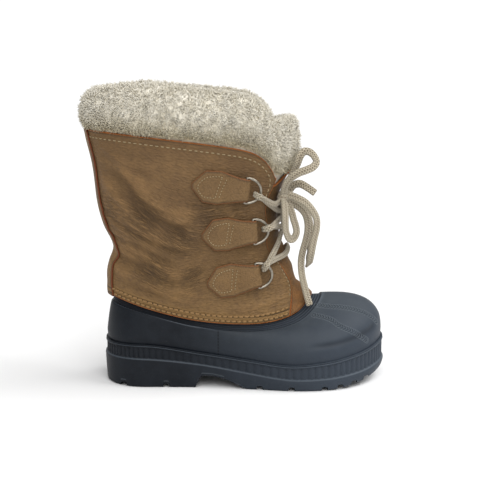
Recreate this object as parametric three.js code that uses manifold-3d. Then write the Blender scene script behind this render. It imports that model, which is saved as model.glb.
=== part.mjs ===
// A laced snow boot for the right foot: a moulded rubber foot under a leather shaft lined with shearling.
// Millimetres. +X points to the toe, +Y to the inner side of the foot, +Z up.
// The origin is on the floor under the heel's centre.

import * as THREE from 'three';
import { mergeVertices } from 'three/addons/utils/BufferGeometryUtils.js';
import Module from 'manifold-3d';

const wasm = await Module();
wasm.setup();

// Clearance between pieces that touch, and between curved walls whose facets differ
const GAP = 0.3;
const SEAT = 0.5;

// Detail finer than this is dropped from the pieces that are cut or joined.
const FINE = 0.08;

// Outsole
const SOLE_LENGTH = 240;
const SOLE_HEIGHT = 36.8;
const HEEL_BACK = 36;
const BALL_WIDTH = 98;
const HEEL_ROUND = 0.15;
const TOE_ROUND = 0.2;
const HEEL_POWER = 2.1;
const TOE_POWER = 2.3;
const RIM = 2.4;
const BED_DROP = 1;
const TREAD_BEVEL = 3;
const TREAD_BEVEL_HEIGHT = 2.5;
const RIB_COUNT = 112;
const RIB_DEPTH = 1;
const LEDGE_DEPTH = 1.4;
const BEAD_HEIGHT = 2.6;
const BREAST = 42;
const BREAST_SLOPE = 6;
const ARCH_HEIGHT = 11;
const ARCH_END = 86;
const GROOVE_DEPTH = 3.6;
const GROOVE_WIDTH = 5;
const HEEL_GROOVE_REACH = 14;

// Rubber shell
const SHELL_WALL = 3;
const LIP_PROUD = 1.3;
const FLANGE_WALL = 2;
const FLANGE_SHARE = 0.055;

// Leather: the shaft's height is the collar's at the heel
const SHAFT_HEIGHT = 214.5;
const LEATHER = 2.2;
const BACKSTAY_REACH = 12.4;
const BACKSTAY_THICKNESS = 1.4;
const TONGUE_THICKNESS = 2;
const TONGUE_OVERLAP = 12;

// Insole
const INSOLE_THICKNESS = 4;

// Shearling
const FUR_HEIGHT = 51;
const FUR_THICKNESS = 18;
const PILE_LINING = 8;
const PILE_DEPTH = 3.2;

// Lace tabs and D-rings
const TAB_HALF = 13.6;
const TAB_LEATHER = 1.6;
const TAB_LIFT = 0.6;
const TAB_RETURN = 12;
const WIRE = 2.2;
const RING_HALF = 10.4;
const RING_REACH = 12.4;

// Laces: the strands between the rings are pulled flat, the bow's ends and loops are rounder
const STRAND_WIDTH = 5;
const STRAND_THICKNESS = 3.4;
const CORD = 6;
const KNOT_WIDE = 8;
const KNOT_DEEP = 5.4;

// The sole's plan: half widths to the outer and the inner side, as shares of the ball's width.
const PLAN = [
  { along: 0.0, outer: 0.36, inner: 0.36 },
  { along: 0.15, outer: 0.365, inner: 0.36 },
  { along: 0.3, outer: 0.37, inner: 0.35 },
  { along: 0.42, outer: 0.39, inner: 0.345 },
  { along: 0.55, outer: 0.44, inner: 0.395 },
  { along: 0.66, outer: 0.48, inner: 0.46 },
  { along: 0.75, outer: 0.475, inner: 0.495 },
  { along: 0.85, outer: 0.425, inner: 0.505 },
  { along: 0.95, outer: 0.35, inner: 0.49 },
  { along: 1.0, outer: 0.3, inner: 0.46 },
];

// The sole's side, as shares of its height: tread, ledge under the ribs and top edge, along its length.
const SIDE = [
  { along: 0.0, tread: 0, ledge: 0.6793, top: 1 },
  { along: 0.17, tread: 0, ledge: 0.6685, top: 0.9973 },
  { along: 0.34, tread: 0, ledge: 0.5598, top: 0.837 },
  { along: 0.51, tread: 0, ledge: 0.3913, top: 0.6957 },
  { along: 0.65, tread: 0, ledge: 0.2772, top: 0.6033 },
  { along: 0.78, tread: 0, ledge: 0.288, top: 0.663 },
  { along: 0.86, tread: 0.0598, ledge: 0.337, top: 0.75 },
  { along: 0.93, tread: 0.1413, ledge: 0.3967, top: 0.8424 },
  { along: 1.0, tread: 0.2989, ledge: 0.5027, top: 0.9783 },
];

// Grooves between the lugs: centre as a share of the sole's length, and whether it runs right across.
const GROOVES = [
  { along: 0.075, across: false },
  { along: 0.225, across: false },
  { along: 0.55, across: true },
  { along: 0.66, across: true },
  { along: 0.775, across: true },
  { along: 0.83, across: true },
  { along: 0.88, across: true },
  { along: 0.925, across: true },
];

// Horizontal sections of the boot above the sole, from the leather's lower edge (up 0) to the collar (up 1):
// rearmost and foremost X as shares of the sole's length, half width as a share of the ball's width, where it
// is widest, and the powers that round its nose and its tail.
const SECTIONS = [
  { up: 0.0, back: -0.1167, front: 0.5813, half: 0.3265, widest: 0.62, nose: 2.0, tail: 2.5 },
  { up: 0.13, back: -0.1208, front: 0.5354, half: 0.3316, widest: 0.6, nose: 2.0, tail: 2.4 },
  { up: 0.29, back: -0.1, front: 0.5146, half: 0.3367, widest: 0.56, nose: 2.0, tail: 2.2 },
  { up: 0.43, back: -0.1333, front: 0.4875, half: 0.3418, widest: 0.53, nose: 2.1, tail: 2.2 },
  { up: 0.57, back: -0.1517, front: 0.4708, half: 0.3571, widest: 0.5, nose: 2.2, tail: 2.2 },
  { up: 0.81, back: -0.1683, front: 0.4688, half: 0.3776, widest: 0.5, nose: 2.3, tail: 2.2 },
  { up: 1.0, back: -0.1925, front: 0.4938, half: 0.3929, widest: 0.5, nose: 2.3, tail: 2.2 },
  { up: 1.12, back: -0.2042, front: 0.5396, half: 0.398, widest: 0.5, nose: 2.3, tail: 2.2 },
];
const THROAT_CENTRE = 4;

// Height of the leather's lower edge and of the collar along them, as shares of the shaft's height.
const EDGE = [
  { along: 0.0, height: 0.352 },
  { along: 0.21, height: 0.304 },
  { along: 0.45, height: 0.2648 },
  { along: 0.69, height: 0.2517 },
  { along: 0.83, height: 0.2592 },
  { along: 0.93, height: 0.2844 },
  { along: 1.0, height: 0.3333 },
];
const COLLAR = [
  { along: 0.0, height: 1 },
  { along: 0.22, height: 0.9837 },
  { along: 0.47, height: 0.9627 },
  { along: 0.71, height: 0.9371 },
  { along: 0.82, height: 0.9161 },
  { along: 0.88, height: 0.8858 },
  { along: 0.92, height: 0.8438 },
  { along: 0.94, height: 0.8135 },
  { along: 1.0, height: 0.8019 },
];

// The foot of the shell's recessed lip band: a section, and its height as a share of the shaft's.
const LIP = { back: -0.1208, front: 0.625, half: 0.3571, widest: 0.6, nose: 2.1, tail: 2.5 };
const LIP_HEIGHT = [
  { along: 0.0, height: 0.3124 },
  { along: 0.19, height: 0.2774 },
  { along: 0.42, height: 0.2354 },
  { along: 0.56, height: 0.2205 },
  { along: 0.745, height: 0.2205 },
  { along: 0.88, height: 0.2443 },
  { along: 0.96, height: 0.289 },
  { along: 1.0, height: 0.3333 },
];

// How round the shell is between sole and lip: 1 is a straight wall, above 2 a blunt dome.
const DOME = [
  { along: 0.0, power: 1.25 },
  { along: 0.45, power: 1.4 },
  { along: 0.65, power: 1.8 },
  { along: 0.85, power: 2.5 },
  { along: 1.0, power: 2.9 },
];

// X of the quarters' front edges as a share of the sole's length, from the rubber to the collar's corner.
const FACING = [
  { up: 0.0, reach: 0.5021 },
  { up: 0.15, reach: 0.5062 },
  { up: 0.33, reach: 0.4708 },
  { up: 0.45, reach: 0.4229 },
  { up: 0.6, reach: 0.4229 },
  { up: 0.72, reach: 0.4146 },
  { up: 0.84, reach: 0.425 },
  { up: 1.0, reach: 0.4517 },
];

// The fur above the collar: how high it stands, how far out of the collar and how thick it is around the
// boot, as shares of its greatest height and thickness.
const FUR = [
  { along: 0.0, height: 0.6078, out: 0.2222, thick: 0.9444 },
  { along: 0.3, height: 0.7843, out: 0.25, thick: 1 },
  { along: 0.55, height: 0.8039, out: 0.25, thick: 1 },
  { along: 0.8, height: 0.8627, out: 0.2222, thick: 0.8889 },
  { along: 0.93, height: 0.8824, out: 0.1111, thick: 0.5556 },
  { along: 1.0, height: 1, out: 0, thick: 0.6667 },
];

// The fur's section, as shares of how far it stands out, how thick it is and how high it stands.
const FUR_SECTION = [
  { out: 0.1, deep: 0.0, rise: 0.06 },
  { out: 0.9, deep: 0.0, rise: 0.22 },
  { out: 1.15, deep: 0.0, rise: 0.5 },
  { out: 0.6, deep: 0.05, rise: 0.8 },
  { out: 0.0, deep: 0.35, rise: 0.99 },
  { out: 0.0, deep: 0.75, rise: 0.9 },
  { out: 0.0, deep: 1.0, rise: 0.6 },
  { out: 0.0, deep: 0.85, rise: 0.25 },
];

// Leather tabs on each side, from the ankle to the collar: tip and fold, as shares of length and height.
const TABS = [
  { name: 'low', tipX: 0.22, tipZ: 0.4126, foldX: 0.3833, foldZ: 0.4406 },
  { name: 'middle', tipX: 0.2012, tipZ: 0.6014, foldX: 0.3688, foldZ: 0.6131 },
  { name: 'top', tipX: 0.1688, tipZ: 0.7995, foldX: 0.3438, foldZ: 0.7762 },
];

// A tab's half width from its tip to the fold, as a share of its greatest.
const TAB_SHAPE = [
  { along: 0.0, half: 0.1176 },
  { along: 0.24, half: 0.9412 },
  { along: 0.52, half: 1 },
  { along: 0.86, half: 0.7059 },
  { along: 1.0, half: 0.6544 },
];

// Where the laces hold each ring, as an angle up its bow.
const RING_HOLD = { low: 48, middle: 14, top: -22 };

// The lacing: from an outer ring to an inner ring or the knot, and how far each strand rides up the tongue.
const LACING = [
  { from: 'low', to: 'low', rise: 0.06 },
  { from: 'low', to: 'middle', rise: 0.1 },
  { from: 'middle', to: 'low', rise: 0.05 },
  { from: 'middle', to: 'top', rise: 0.02 },
  { from: 'top', to: 'middle', rise: 0.02 },
];

// The bow's knot on the tongue, as a place around the shaft and up it.
const KNOT = { around: 0.456, up: 0.865 };

// The bow's loops and ends, each a line of points from the knot, as shares of the sole's length, the ball's
// width and the shaft's height.
const CORDS = [
  { name: 'lace_loop_a', steps: 13, points: [
    [0.4813, -0.1276, 0.7413], [0.4846, -0.1633, 0.7716], [0.495, -0.1888, 0.7991],
    [0.5121, -0.2092, 0.8196], [0.535, -0.2194, 0.8359], [0.5608, -0.2143, 0.8462],
    [0.5825, -0.1939, 0.8569], [0.5942, -0.1633, 0.8741], [0.5858, -0.1429, 0.8965],
    [0.5692, -0.1378, 0.9119], [0.55, -0.1429, 0.9119], [0.5375, -0.148, 0.8928], [0.5292, -0.1429, 0.8648],
    [0.5146, -0.1224, 0.8298], [0.5012, -0.1071, 0.7972], [0.4887, -0.0867, 0.7669],
    [0.4813, -0.0714, 0.7366],
  ] },
  { name: 'lace_end_a', steps: 4, points: [
    [0.4688, -0.0918, 0.7156], [0.4813, -0.0714, 0.7319], [0.5062, -0.0459, 0.7599],
    [0.5179, -0.0459, 0.7762], [0.5404, -0.051, 0.7832], [0.5663, -0.0612, 0.7692],
    [0.5946, -0.0714, 0.7473],
  ] },
  { name: 'lace_loop_b', steps: 8, points: [
    [0.4813, -0.1224, 0.7319], [0.485, -0.1837, 0.7156], [0.4875, -0.2245, 0.6783],
    [0.4883, -0.2347, 0.6401], [0.4917, -0.2245, 0.6051], [0.5025, -0.1939, 0.5781],
    [0.5175, -0.1612, 0.5753], [0.5283, -0.1459, 0.5967], [0.5258, -0.1429, 0.6224],
    [0.5183, -0.1429, 0.648], [0.5125, -0.1429, 0.6732], [0.5021, -0.1306, 0.7016],
    [0.4867, -0.102, 0.7273],
  ] },
  { name: 'lace_loop_c', steps: 13, points: [
    [0.4813, -0.102, 0.7366], [0.5042, -0.1357, 0.7422], [0.5317, -0.1633, 0.7329],
    [0.5592, -0.1684, 0.7152], [0.5833, -0.1633, 0.6839], [0.5975, -0.1531, 0.6517],
    [0.5983, -0.1531, 0.6159], [0.5917, -0.1531, 0.5795], [0.585, -0.1531, 0.5431], [0.58, -0.1429, 0.5058],
    [0.5758, -0.1071, 0.4746], [0.5721, -0.0561, 0.4634], [0.5721, -0.0153, 0.4802], [0.5771, 0, 0.5221],
    [0.5813, 0.0051, 0.5781], [0.5771, 0.0051, 0.6303], [0.5583, -0.0051, 0.6807],
    [0.5292, -0.0306, 0.7133], [0.4833, -0.0714, 0.7366],
  ] },
  { name: 'lace_end_b', steps: 8, points: [
    [0.4813, -0.0918, 0.7273], [0.5062, -0.0918, 0.7133], [0.5333, -0.0816, 0.6974],
    [0.5554, -0.0816, 0.6741], [0.5667, -0.0816, 0.6434], [0.5692, -0.0816, 0.6037],
    [0.5625, -0.0816, 0.5599], [0.5517, -0.0867, 0.5142], [0.5467, -0.0969, 0.4741],
    [0.5492, -0.1224, 0.4303], [0.5579, -0.1378, 0.3855], [0.5687, -0.1429, 0.3413],
    [0.5775, -0.148, 0.3068],
  ] },
];

// Value of one column of a table at a place, on a smooth curve through its rows.
function track(rows, key, at, name) {
  const last = rows.length - 1;
  let i = 0;
  while (i < last - 1 && at > rows[i + 1][key]) {
    i += 1;
  }
  const slope = (k) => {
    const low = rows[Math.max(k - 1, 0)];
    const high = rows[Math.min(k + 1, last)];
    return (high[name] - low[name]) / (high[key] - low[key]);
  };
  const a = rows[i];
  const b = rows[i + 1];
  const span = b[key] - a[key];
  const q = (at - a[key]) / span;
  const q2 = q * q;
  const q3 = q2 * q;
  return (2 * q3 - 3 * q2 + 1) * a[name] + (q3 - 2 * q2 + q) * span * slope(i)
    + (3 * q2 - 2 * q3) * b[name] + (q3 - q2) * span * slope(i + 1);
}

// The same on straight lines through the rows.
function polygonal(rows, key, at, name) {
  let i = 0;
  while (i < rows.length - 2 && at > rows[i + 1][key]) {
    i += 1;
  }
  return mix(rows[i][name], rows[i + 1][name], (at - rows[i][key]) / (rows[i + 1][key] - rows[i][key]));
}

const mix = (a, b, q) => a + (b - a) * q;
const clamp = (v, low, high) => Math.min(Math.max(v, low), high);
const sideOf = (around) => (around % 1 + 1) % 1 < 0.5 ? -1 : 1;

// Share of the length at a place around a loop: 0 at the heel, 0.5 at the toe, outer side first.
const shareAt = (around) => (1 - Math.cos(2 * Math.PI * around)) / 2;

// The loops above the sole run ahead of the sole's, so that the lines between them stay upright at the heel.
const LEAD = 0.33;
const leadAt = (around) => shareAt(around) * (1 + LEAD * (1 - shareAt(around)));
function aroundAt(lead) {
  const b = 1 + LEAD;
  const share = (b - Math.sqrt(b * b - 4 * LEAD * clamp(lead, 0, 1))) / (2 * LEAD);
  return Math.acos(1 - 2 * clamp(share, 0, 1)) / (2 * Math.PI);
}

// Rounds a loop's half width off to nothing at its two ends.
function endRound(share) {
  if (share < HEEL_ROUND) {
    return (1 - (1 - share / HEEL_ROUND) ** HEEL_POWER) ** (1 / HEEL_POWER);
  }
  if (share > 1 - TOE_ROUND) {
    return (1 - clamp(1 - (1 - share) / TOE_ROUND, 0, 1) ** TOE_POWER) ** (1 / TOE_POWER);
  }
  return 1;
}

// The sole's outline, set in by a distance along its normal.
function outline(around) {
  const share = shareAt(around);
  const outer = BALL_WIDTH * track(PLAN, 'along', share, 'outer');
  const inner = BALL_WIDTH * track(PLAN, 'along', share, 'inner');
  const middle = (inner - outer) / 2;
  const half = (inner + outer) / 2 * endRound(share);
  return new THREE.Vector2(SOLE_LENGTH * share - HEEL_BACK, middle + sideOf(around) * half);
}

function insetOutline(around, inset) {
  const step = 0.004;
  const along = outline(around + step).sub(outline(around - step)).normalize();
  return outline(around).add(new THREE.Vector2(-along.y, along.x).multiplyScalar(inset));
}

const sideHeight = (around, name) => SOLE_HEIGHT * Math.max(track(SIDE, 'along', shareAt(around), name), 0);
const bedHeight = (around) => sideHeight(around, 'ledge') - BED_DROP;

// Half width of a section at a share of its length.
function sectionHalf(row, share) {
  if (share > row.widest) {
    const q = clamp((share - row.widest) / (1 - row.widest), 0, 1);
    return row.half * (1 - q ** row.nose) ** (1 / row.nose);
  }
  const q = clamp((row.widest - share) / row.widest, 0, 1);
  return row.half * (1 - q ** row.tail) ** (1 / row.tail);
}

// A section's row with its lengths in millimetres.
function sized(row) {
  const back = SOLE_LENGTH * row.back;
  const front = SOLE_LENGTH * row.front;
  return { ...row, back, front, half: BALL_WIDTH * row.half };
}

function sectionAt(up) {
  const row = {};
  for (const name of ['back', 'front', 'half', 'widest', 'nose', 'tail']) {
    row[name] = track(SECTIONS, 'up', up, name);
  }
  return sized(row);
}

// A section's point. Its middle line moves to the inner side towards the throat, as the foot's ridge does.
function sectionPoint(row, around, height) {
  const lead = leadAt(around);
  const middle = THROAT_CENTRE * lead * lead;
  const y = middle + sideOf(around) * sectionHalf(row, lead);
  return new THREE.Vector3(mix(row.back, row.front, lead), y, height);
}

const heightAt = (rows, around) => SHAFT_HEIGHT * track(rows, 'along', leadAt(around), 'height');

// The shaft: the inner face of the leather, from its lower edge to the collar and above.
function shaft(around, up) {
  const low = heightAt(EDGE, around);
  const high = heightAt(COLLAR, around);
  return sectionPoint(sectionAt(up), around, mix(low, high, up));
}

// The shell's face between the sole (rise 0) and the foot of the lip (rise 1).
function dome(around, rise) {
  const foot = insetOutline(around, RIM + GAP);
  const low = new THREE.Vector3(foot.x, foot.y, sideHeight(around, 'top'));
  const high = sectionPoint(sized(LIP), around, heightAt(LIP_HEIGHT, around));
  const power = 2 / track(DOME, 'along', shareAt(around), 'power');
  const angle = rise * Math.PI / 2;
  const out = Math.max(Math.cos(angle), 0) ** power;
  const lift = Math.sin(angle) ** power;
  return new THREE.Vector3(mix(high.x, low.x, out), mix(high.y, low.y, out), mix(low.z, high.z, lift));
}

// Outward normal of a surface given as a function of the place around and the height.
function normalOf(surface, around, up) {
  const step = 0.003;
  const lift = 0.01;
  const across = surface(around + step, up).sub(surface(around - step, up));
  const rise = surface(around, up + lift).sub(surface(around, Math.max(up - lift, 0)));
  return across.cross(rise).normalize();
}

// A point on a surface moved out along its normal.
function offset(surface, around, up, distance) {
  return surface(around, up).addScaledVector(normalOf(surface, around, up), distance);
}

const times = (count, make) => Array.from({ length: count }, (_, i) => make(i));

// Triangles of closed loops of points, from the first to the last, with the ends closed across.
// Loops may have different counts: each pair is zipped by the shorter step around.
function loft(loops, closed) {
  const positions = [];
  const index = [];
  const starts = [];
  for (const loop of loops) {
    starts.push(positions.length / 3);
    for (const p of loop) {
      positions.push(p.x, p.y, p.z);
    }
  }
  const pairs = closed ? loops.length : loops.length - 1;
  for (let k = 0; k < pairs; k += 1) {
    const next = (k + 1) % loops.length;
    const a = loops[k].length;
    const b = loops[next].length;
    let i = 0;
    let j = 0;
    while (i < a || j < b) {
      const low = starts[k] + i % a;
      const high = starts[next] + j % b;
      if (j >= b || (i < a && (i + 1) * b <= (j + 1) * a)) {
        index.push(low, starts[k] + (i + 1) % a, high);
        i += 1;
      } else {
        index.push(low, starts[next] + (j + 1) % b, high);
        j += 1;
      }
    }
  }
  if (!closed) {
    capAcross(index, starts[0], loops[0].length, true);
    capAcross(index, starts[loops.length - 1], loops[loops.length - 1].length, false);
  }
  return geometryOf(positions, index);
}

// Closes a loop by strips from one side to the other.
function capAcross(index, start, count, flip) {
  const at = (i) => start + (i + count) % count;
  for (let i = 0; i < Math.floor((count - 1) / 2); i += 1) {
    const quad = [at(i), at(i + 1), at(-i - 1), at(-i)];
    const faces = i === 0 ? [[0, 1, 2]] : [[0, 1, 2], [0, 2, 3]];
    for (const [a, b, c] of faces) {
      index.push(quad[a], flip ? quad[c] : quad[b], flip ? quad[b] : quad[c]);
    }
    if (at(i + 1) === at(-i - 1)) {
      break;
    }
  }
  if (count % 2 === 0) {
    const i = count / 2 - 1;
    const last = [at(i), at(i + 1), at(-i)];
    index.push(last[0], flip ? last[2] : last[1], flip ? last[1] : last[2]);
  }
}

function geometryOf(positions, index) {
  const geometry = new THREE.BufferGeometry();
  geometry.setAttribute('position', new THREE.Float32BufferAttribute(positions, 3));
  geometry.setIndex(index);
  return facedOut(geometry);
}

// Turns a closed mesh the right way out by the sign of its volume.
function facedOut(geometry) {
  const p = geometry.getAttribute('position');
  const index = Array.from(geometry.getIndex().array);
  const corner = (k) => new THREE.Vector3().fromBufferAttribute(p, index[k]);
  let volume = 0;
  for (let k = 0; k < index.length; k += 3) {
    volume += corner(k).dot(corner(k + 1).cross(corner(k + 2)));
  }
  if (volume < 0) {
    for (let k = 0; k < index.length; k += 3) {
      [index[k + 1], index[k + 2]] = [index[k + 2], index[k + 1]];
    }
    geometry.setIndex(index);
  }
  return geometry;
}

function solid(geometry) {
  const bare = geometry.clone();
  bare.deleteAttribute('normal');
  bare.deleteAttribute('uv');
  const merged = mergeVertices(bare, 1e-4);
  return new wasm.Manifold(new wasm.Mesh({
    numProp: 3,
    vertProperties: merged.getAttribute('position').array,
    triVerts: Uint32Array.from(merged.getIndex().array),
  }));
}

function meshed(body) {
  const { vertProperties, triVerts } = body.getMesh();
  const geometry = new THREE.BufferGeometry();
  geometry.setAttribute('position', new THREE.BufferAttribute(vertProperties, 3));
  geometry.setIndex(new THREE.BufferAttribute(triVerts, 1));
  return geometry;
}

const boot = new THREE.Group();

function add(name, geometry, material) {
  const mesh = new THREE.Mesh(geometry, material.clone());
  mesh.name = name;
  boot.add(mesh);
}

function finish(color, roughness, metalness) {
  return new THREE.MeshStandardMaterial({ color, roughness, metalness });
}
const RUBBER = finish('#272d35', 0.6, 0);
const TREAD_RUBBER = finish('#1d2127', 0.7, 0);
const TAN_LEATHER = finish('#8a6c4b', 0.7, 0);
const TAB_FINISH = finish('#957350', 0.7, 0);
const SHEEP_FUR = finish('#cfc8b6', 0.95, 0);
const PAD = finish('#b7ae9b', 0.95, 0);
const NICKEL = finish('#c2c0b8', 0.3, 1);
const LACE = finish('#b9ac93', 0.9, 0);

// Outsole
const COARSE = 72;

function soleLoop(count, inset, height) {
  return times(count, (i) => {
    const around = i / count;
    const p = insetOutline(around, typeof inset === 'function' ? inset(i) : inset);
    return new THREE.Vector3(p.x, p.y, height(around));
  });
}

function outsoleBody() {
  const tread = (around) => sideHeight(around, 'tread');
  const ledge = (around) => sideHeight(around, 'ledge');
  const top = (around) => sideHeight(around, 'top');
  const rib = (i) => LEDGE_DEPTH + (i % 2) * RIB_DEPTH;
  const ribs = RIB_COUNT * 2;
  const bead = LEDGE_DEPTH / 2;
  return loft([
    soleLoop(COARSE, TREAD_BEVEL, tread),
    soleLoop(COARSE, RIB_DEPTH, (a) => tread(a) + TREAD_BEVEL_HEIGHT),
    soleLoop(COARSE, 0, (a) => ledge(a) - BED_DROP),
    soleLoop(COARSE, LEDGE_DEPTH, ledge),
    soleLoop(ribs, rib, (a) => ledge(a) + RIB_DEPTH),
    soleLoop(ribs, rib, (a) => top(a) - BEAD_HEIGHT - RIB_DEPTH),
    soleLoop(COARSE, bead, (a) => top(a) - BEAD_HEIGHT),
    soleLoop(COARSE, bead, (a) => top(a) - RIB_DEPTH),
    soleLoop(COARSE, LEDGE_DEPTH, top),
    soleLoop(COARSE, RIM, top),
    soleLoop(COARSE, RIM, bedHeight),
  ], false);
}

function block(x, y, z, width, depth, height) {
  return solid(new THREE.BoxGeometry(width, depth, height).translate(x, y, z));
}

function archCut() {
  const side = new THREE.Shape();
  side.moveTo(BREAST, -ARCH_HEIGHT);
  side.lineTo(BREAST, 0);
  side.lineTo(BREAST + BREAST_SLOPE, ARCH_HEIGHT);
  side.quadraticCurveTo(mix(BREAST, ARCH_END, 0.7), ARCH_HEIGHT, ARCH_END, 0);
  side.lineTo(ARCH_END, -ARCH_HEIGHT);
  const depth = 2 * BALL_WIDTH;
  const cut = new THREE.ExtrudeGeometry(side, { depth, bevelEnabled: false, curveSegments: 5 });
  return solid(cut.rotateX(Math.PI / 2).translate(0, BALL_WIDTH, 0));
}

function outsole() {
  let body = solid(outsoleBody()).subtract(archCut());
  for (const groove of GROOVES) {
    const x = SOLE_LENGTH * groove.along - HEEL_BACK;
    const top = SOLE_HEIGHT * track(SIDE, 'along', groove.along, 'tread') + GROOVE_DEPTH;
    const height = GROOVE_DEPTH * 3;
    if (groove.across) {
      body = body.subtract(block(x, 0, top - height / 2, GROOVE_WIDTH, 2 * BALL_WIDTH, height));
      continue;
    }
    for (const side of [-1, 1]) {
      const half = BALL_WIDTH * track(PLAN, 'along', groove.along, side < 0 ? 'outer' : 'inner');
      const y = side * (half * endRound(groove.along) + BALL_WIDTH / 2 - HEEL_GROOVE_REACH);
      body = body.subtract(block(x, y, top - height / 2, GROOVE_WIDTH, BALL_WIDTH, height));
    }
  }
  return meshed(body.asOriginal().simplify(FINE / 2));
}

// Rubber shell
const SHELL_AROUND = 50;

function shellLoop(make) {
  return times(SHELL_AROUND, (i) => make(i / SHELL_AROUND));
}

function cupLoop(inset, height) {
  return shellLoop((around) => {
    const p = insetOutline(around, RIM + GAP + inset);
    return new THREE.Vector3(p.x, p.y, height(around));
  });
}

function rubberShell() {
  const floor = (around) => bedHeight(around) + GAP;
  const top = (around) => sideHeight(around, 'top');
  const rises = [0.16, 0.34, 0.52, 0.7, 0.86, 1];
  const proud = (rise) => LIP_PROUD * Math.min(rise * 4, 1);
  const outside = rises.map((rise) => shellLoop((a) => offset(dome, a, rise, proud(rise))));
  const inside = [1, 0.7, 0.34].map((rise) => shellLoop((a) => offset(dome, a, rise, -SHELL_WALL)));
  return loft([
    cupLoop(0, floor),
    cupLoop(0, top),
    ...outside,
    shellLoop((a) => dome(a, 1)),
    shellLoop((a) => offset(shaft, a, 0, -SEAT)),
    shellLoop((a) => offset(shaft, a, FLANGE_SHARE, -SEAT)),
    shellLoop((a) => offset(shaft, a, FLANGE_SHARE, -SEAT - FLANGE_WALL)),
    shellLoop((a) => offset(shaft, a, 0, -SHELL_WALL)),
    ...inside,
    cupLoop(SHELL_WALL, top),
    cupLoop(SHELL_WALL, floor),
  ], true);
}

// Insole
function insole() {
  const inset = RIM + GAP + SHELL_WALL + GAP;
  const count = 40;
  const low = (around) => bedHeight(around) + GAP;
  return loft([
    soleLoop(count, inset, low),
    soleLoop(count, inset, (a) => low(a) + INSOLE_THICKNESS),
  ], false);
}

// A wall between two faces of a surface: columns across, rows up, each face moved out by its own distance.
function wall(columns, rows, point) {
  const loops = times(rows + 1, (r) => {
    const outer = times(columns + 1, (c) => point(c / columns, r / rows, true));
    const inner = times(columns + 1, (c) => point(1 - c / columns, r / rows, false));
    return [...outer, ...inner];
  });
  return loft(loops, false);
}

// Place around of a distance behind the throat's edge at a height: the inner side's is its mirror.
function facingAround(up, behind = 0) {
  const row = sectionAt(up);
  const reach = SOLE_LENGTH * track(FACING, 'up', Math.min(up, 1), 'reach') - behind;
  return aroundAt((reach - row.back) / (row.front - row.back));
}

const LEATHER_ROWS = 11;

function leatherUpper() {
  return wall(30, LEATHER_ROWS, (across, up, outer) => {
    const around = facingAround(up) * (1 - 2 * across);
    return offset(shaft, around, up, outer ? GAP + LEATHER : GAP);
  });
}

// Place around where the shaft's inner face is as far to the side as the backstay reaches.
function backstayAround(up) {
  const row = sectionAt(up);
  const back = (1 - (BACKSTAY_REACH / row.half) ** row.tail) ** (1 / row.tail);
  return aroundAt(row.widest * (1 - back));
}

function backstay() {
  return wall(4, LEATHER_ROWS, (across, up, outer) => {
    const half = backstayAround(up);
    const base = 2 * GAP + LEATHER;
    return offset(shaft, half * (1 - 2 * across), up, outer ? base + BACKSTAY_THICKNESS : base);
  });
}

// The tongue lies flush with the quarters where it is stitched to the shell, and behind them above that.
const TONGUE_TOP_SHARE = 1.09;
const TONGUE_SIDE_SHARE = 0.9;
const TUCK_START_SHARE = 0.07;
const TUCK_END_SHARE = 0.13;
const SPREAD_START_SHARE = 0.17;
const SPREAD_END_SHARE = 0.27;
const ramp = (v, low, high) => clamp((v - low) / (high - low), 0, 1);

function tonguePlace(across, share) {
  const centred = 1 - Math.abs(2 * across - 1);
  const up = share * mix(TONGUE_SIDE_SHARE, TONGUE_TOP_SHARE, 1 - Math.cos(centred * Math.PI / 2));
  const spread = ramp(up, SPREAD_START_SHARE, SPREAD_END_SHARE);
  const start = facingAround(up, (TONGUE_OVERLAP + 2 * GAP) * spread - 2 * GAP);
  return { around: mix(start, 1 - start, across), up };
}

function tongue() {
  return wall(10, 12, (across, share, outer) => {
    const { around, up } = tonguePlace(across, share);
    const tuck = ramp(up, TUCK_START_SHARE, TUCK_END_SHARE);
    const face = mix(SEAT + LEATHER, -SEAT, tuck);
    return offset(shaft, around, up, outer ? face : face - mix(LEATHER, TONGUE_THICKNESS, tuck));
  });
}

// Fur: every fourth point of the pile, staggered from row to row, is drawn out to the tip of a lock.
function lock(i, k) {
  const uneven = Math.abs(Math.sin(12.9 * i + 78.2 * k) * 43.7) % 1;
  const tip = i % 2 === 0 && k % 2 === 0 && (i + k) % 4 === 0;
  return PILE_DEPTH * (tip ? 0.7 + 0.5 * uneven : 0.6 * uneven - 0.6);
}

// A point of the fur above the line where the leather ends.
function furPoint(around, top, row, extra) {
  const lead = leadAt(around);
  const base = shaft(around, top);
  const height = FUR_HEIGHT * track(FUR, 'along', lead, 'height') - base.z + shaft(around, 1).z;
  const depth = row.out * track(FUR, 'along', lead, 'out') - row.deep * track(FUR, 'along', lead, 'thick');
  const out = FUR_THICKNESS * depth;
  const away = normalOf(shaft, around, top).setZ(0).normalize();
  return base.addScaledVector(away, out + extra).add(new THREE.Vector3(0, 0, row.rise * height + extra / 2));
}

const CUFF_DOWN_SHARE = 0.7;
const CUFF_COLUMNS = 46;
const LINING_ROWS = 3;

// A section of fur: its lining inside a wall that ends at top, from one depth behind it, and the locks above.
function furSection(around, i, down, top, depth) {
  const above = FUR_SECTION.map((row, k) => furPoint(around, top, row, lock(i, k)));
  const levels = times(LINING_ROWS + 1, (k) => mix(down, top, k / LINING_ROWS));
  return [
    ...levels.map((up) => offset(shaft, around, up, -depth)),
    ...above,
    offset(shaft, around, top, -depth - PILE_LINING),
    offset(shaft, around, down, -depth - PILE_LINING),
  ];
}

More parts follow.
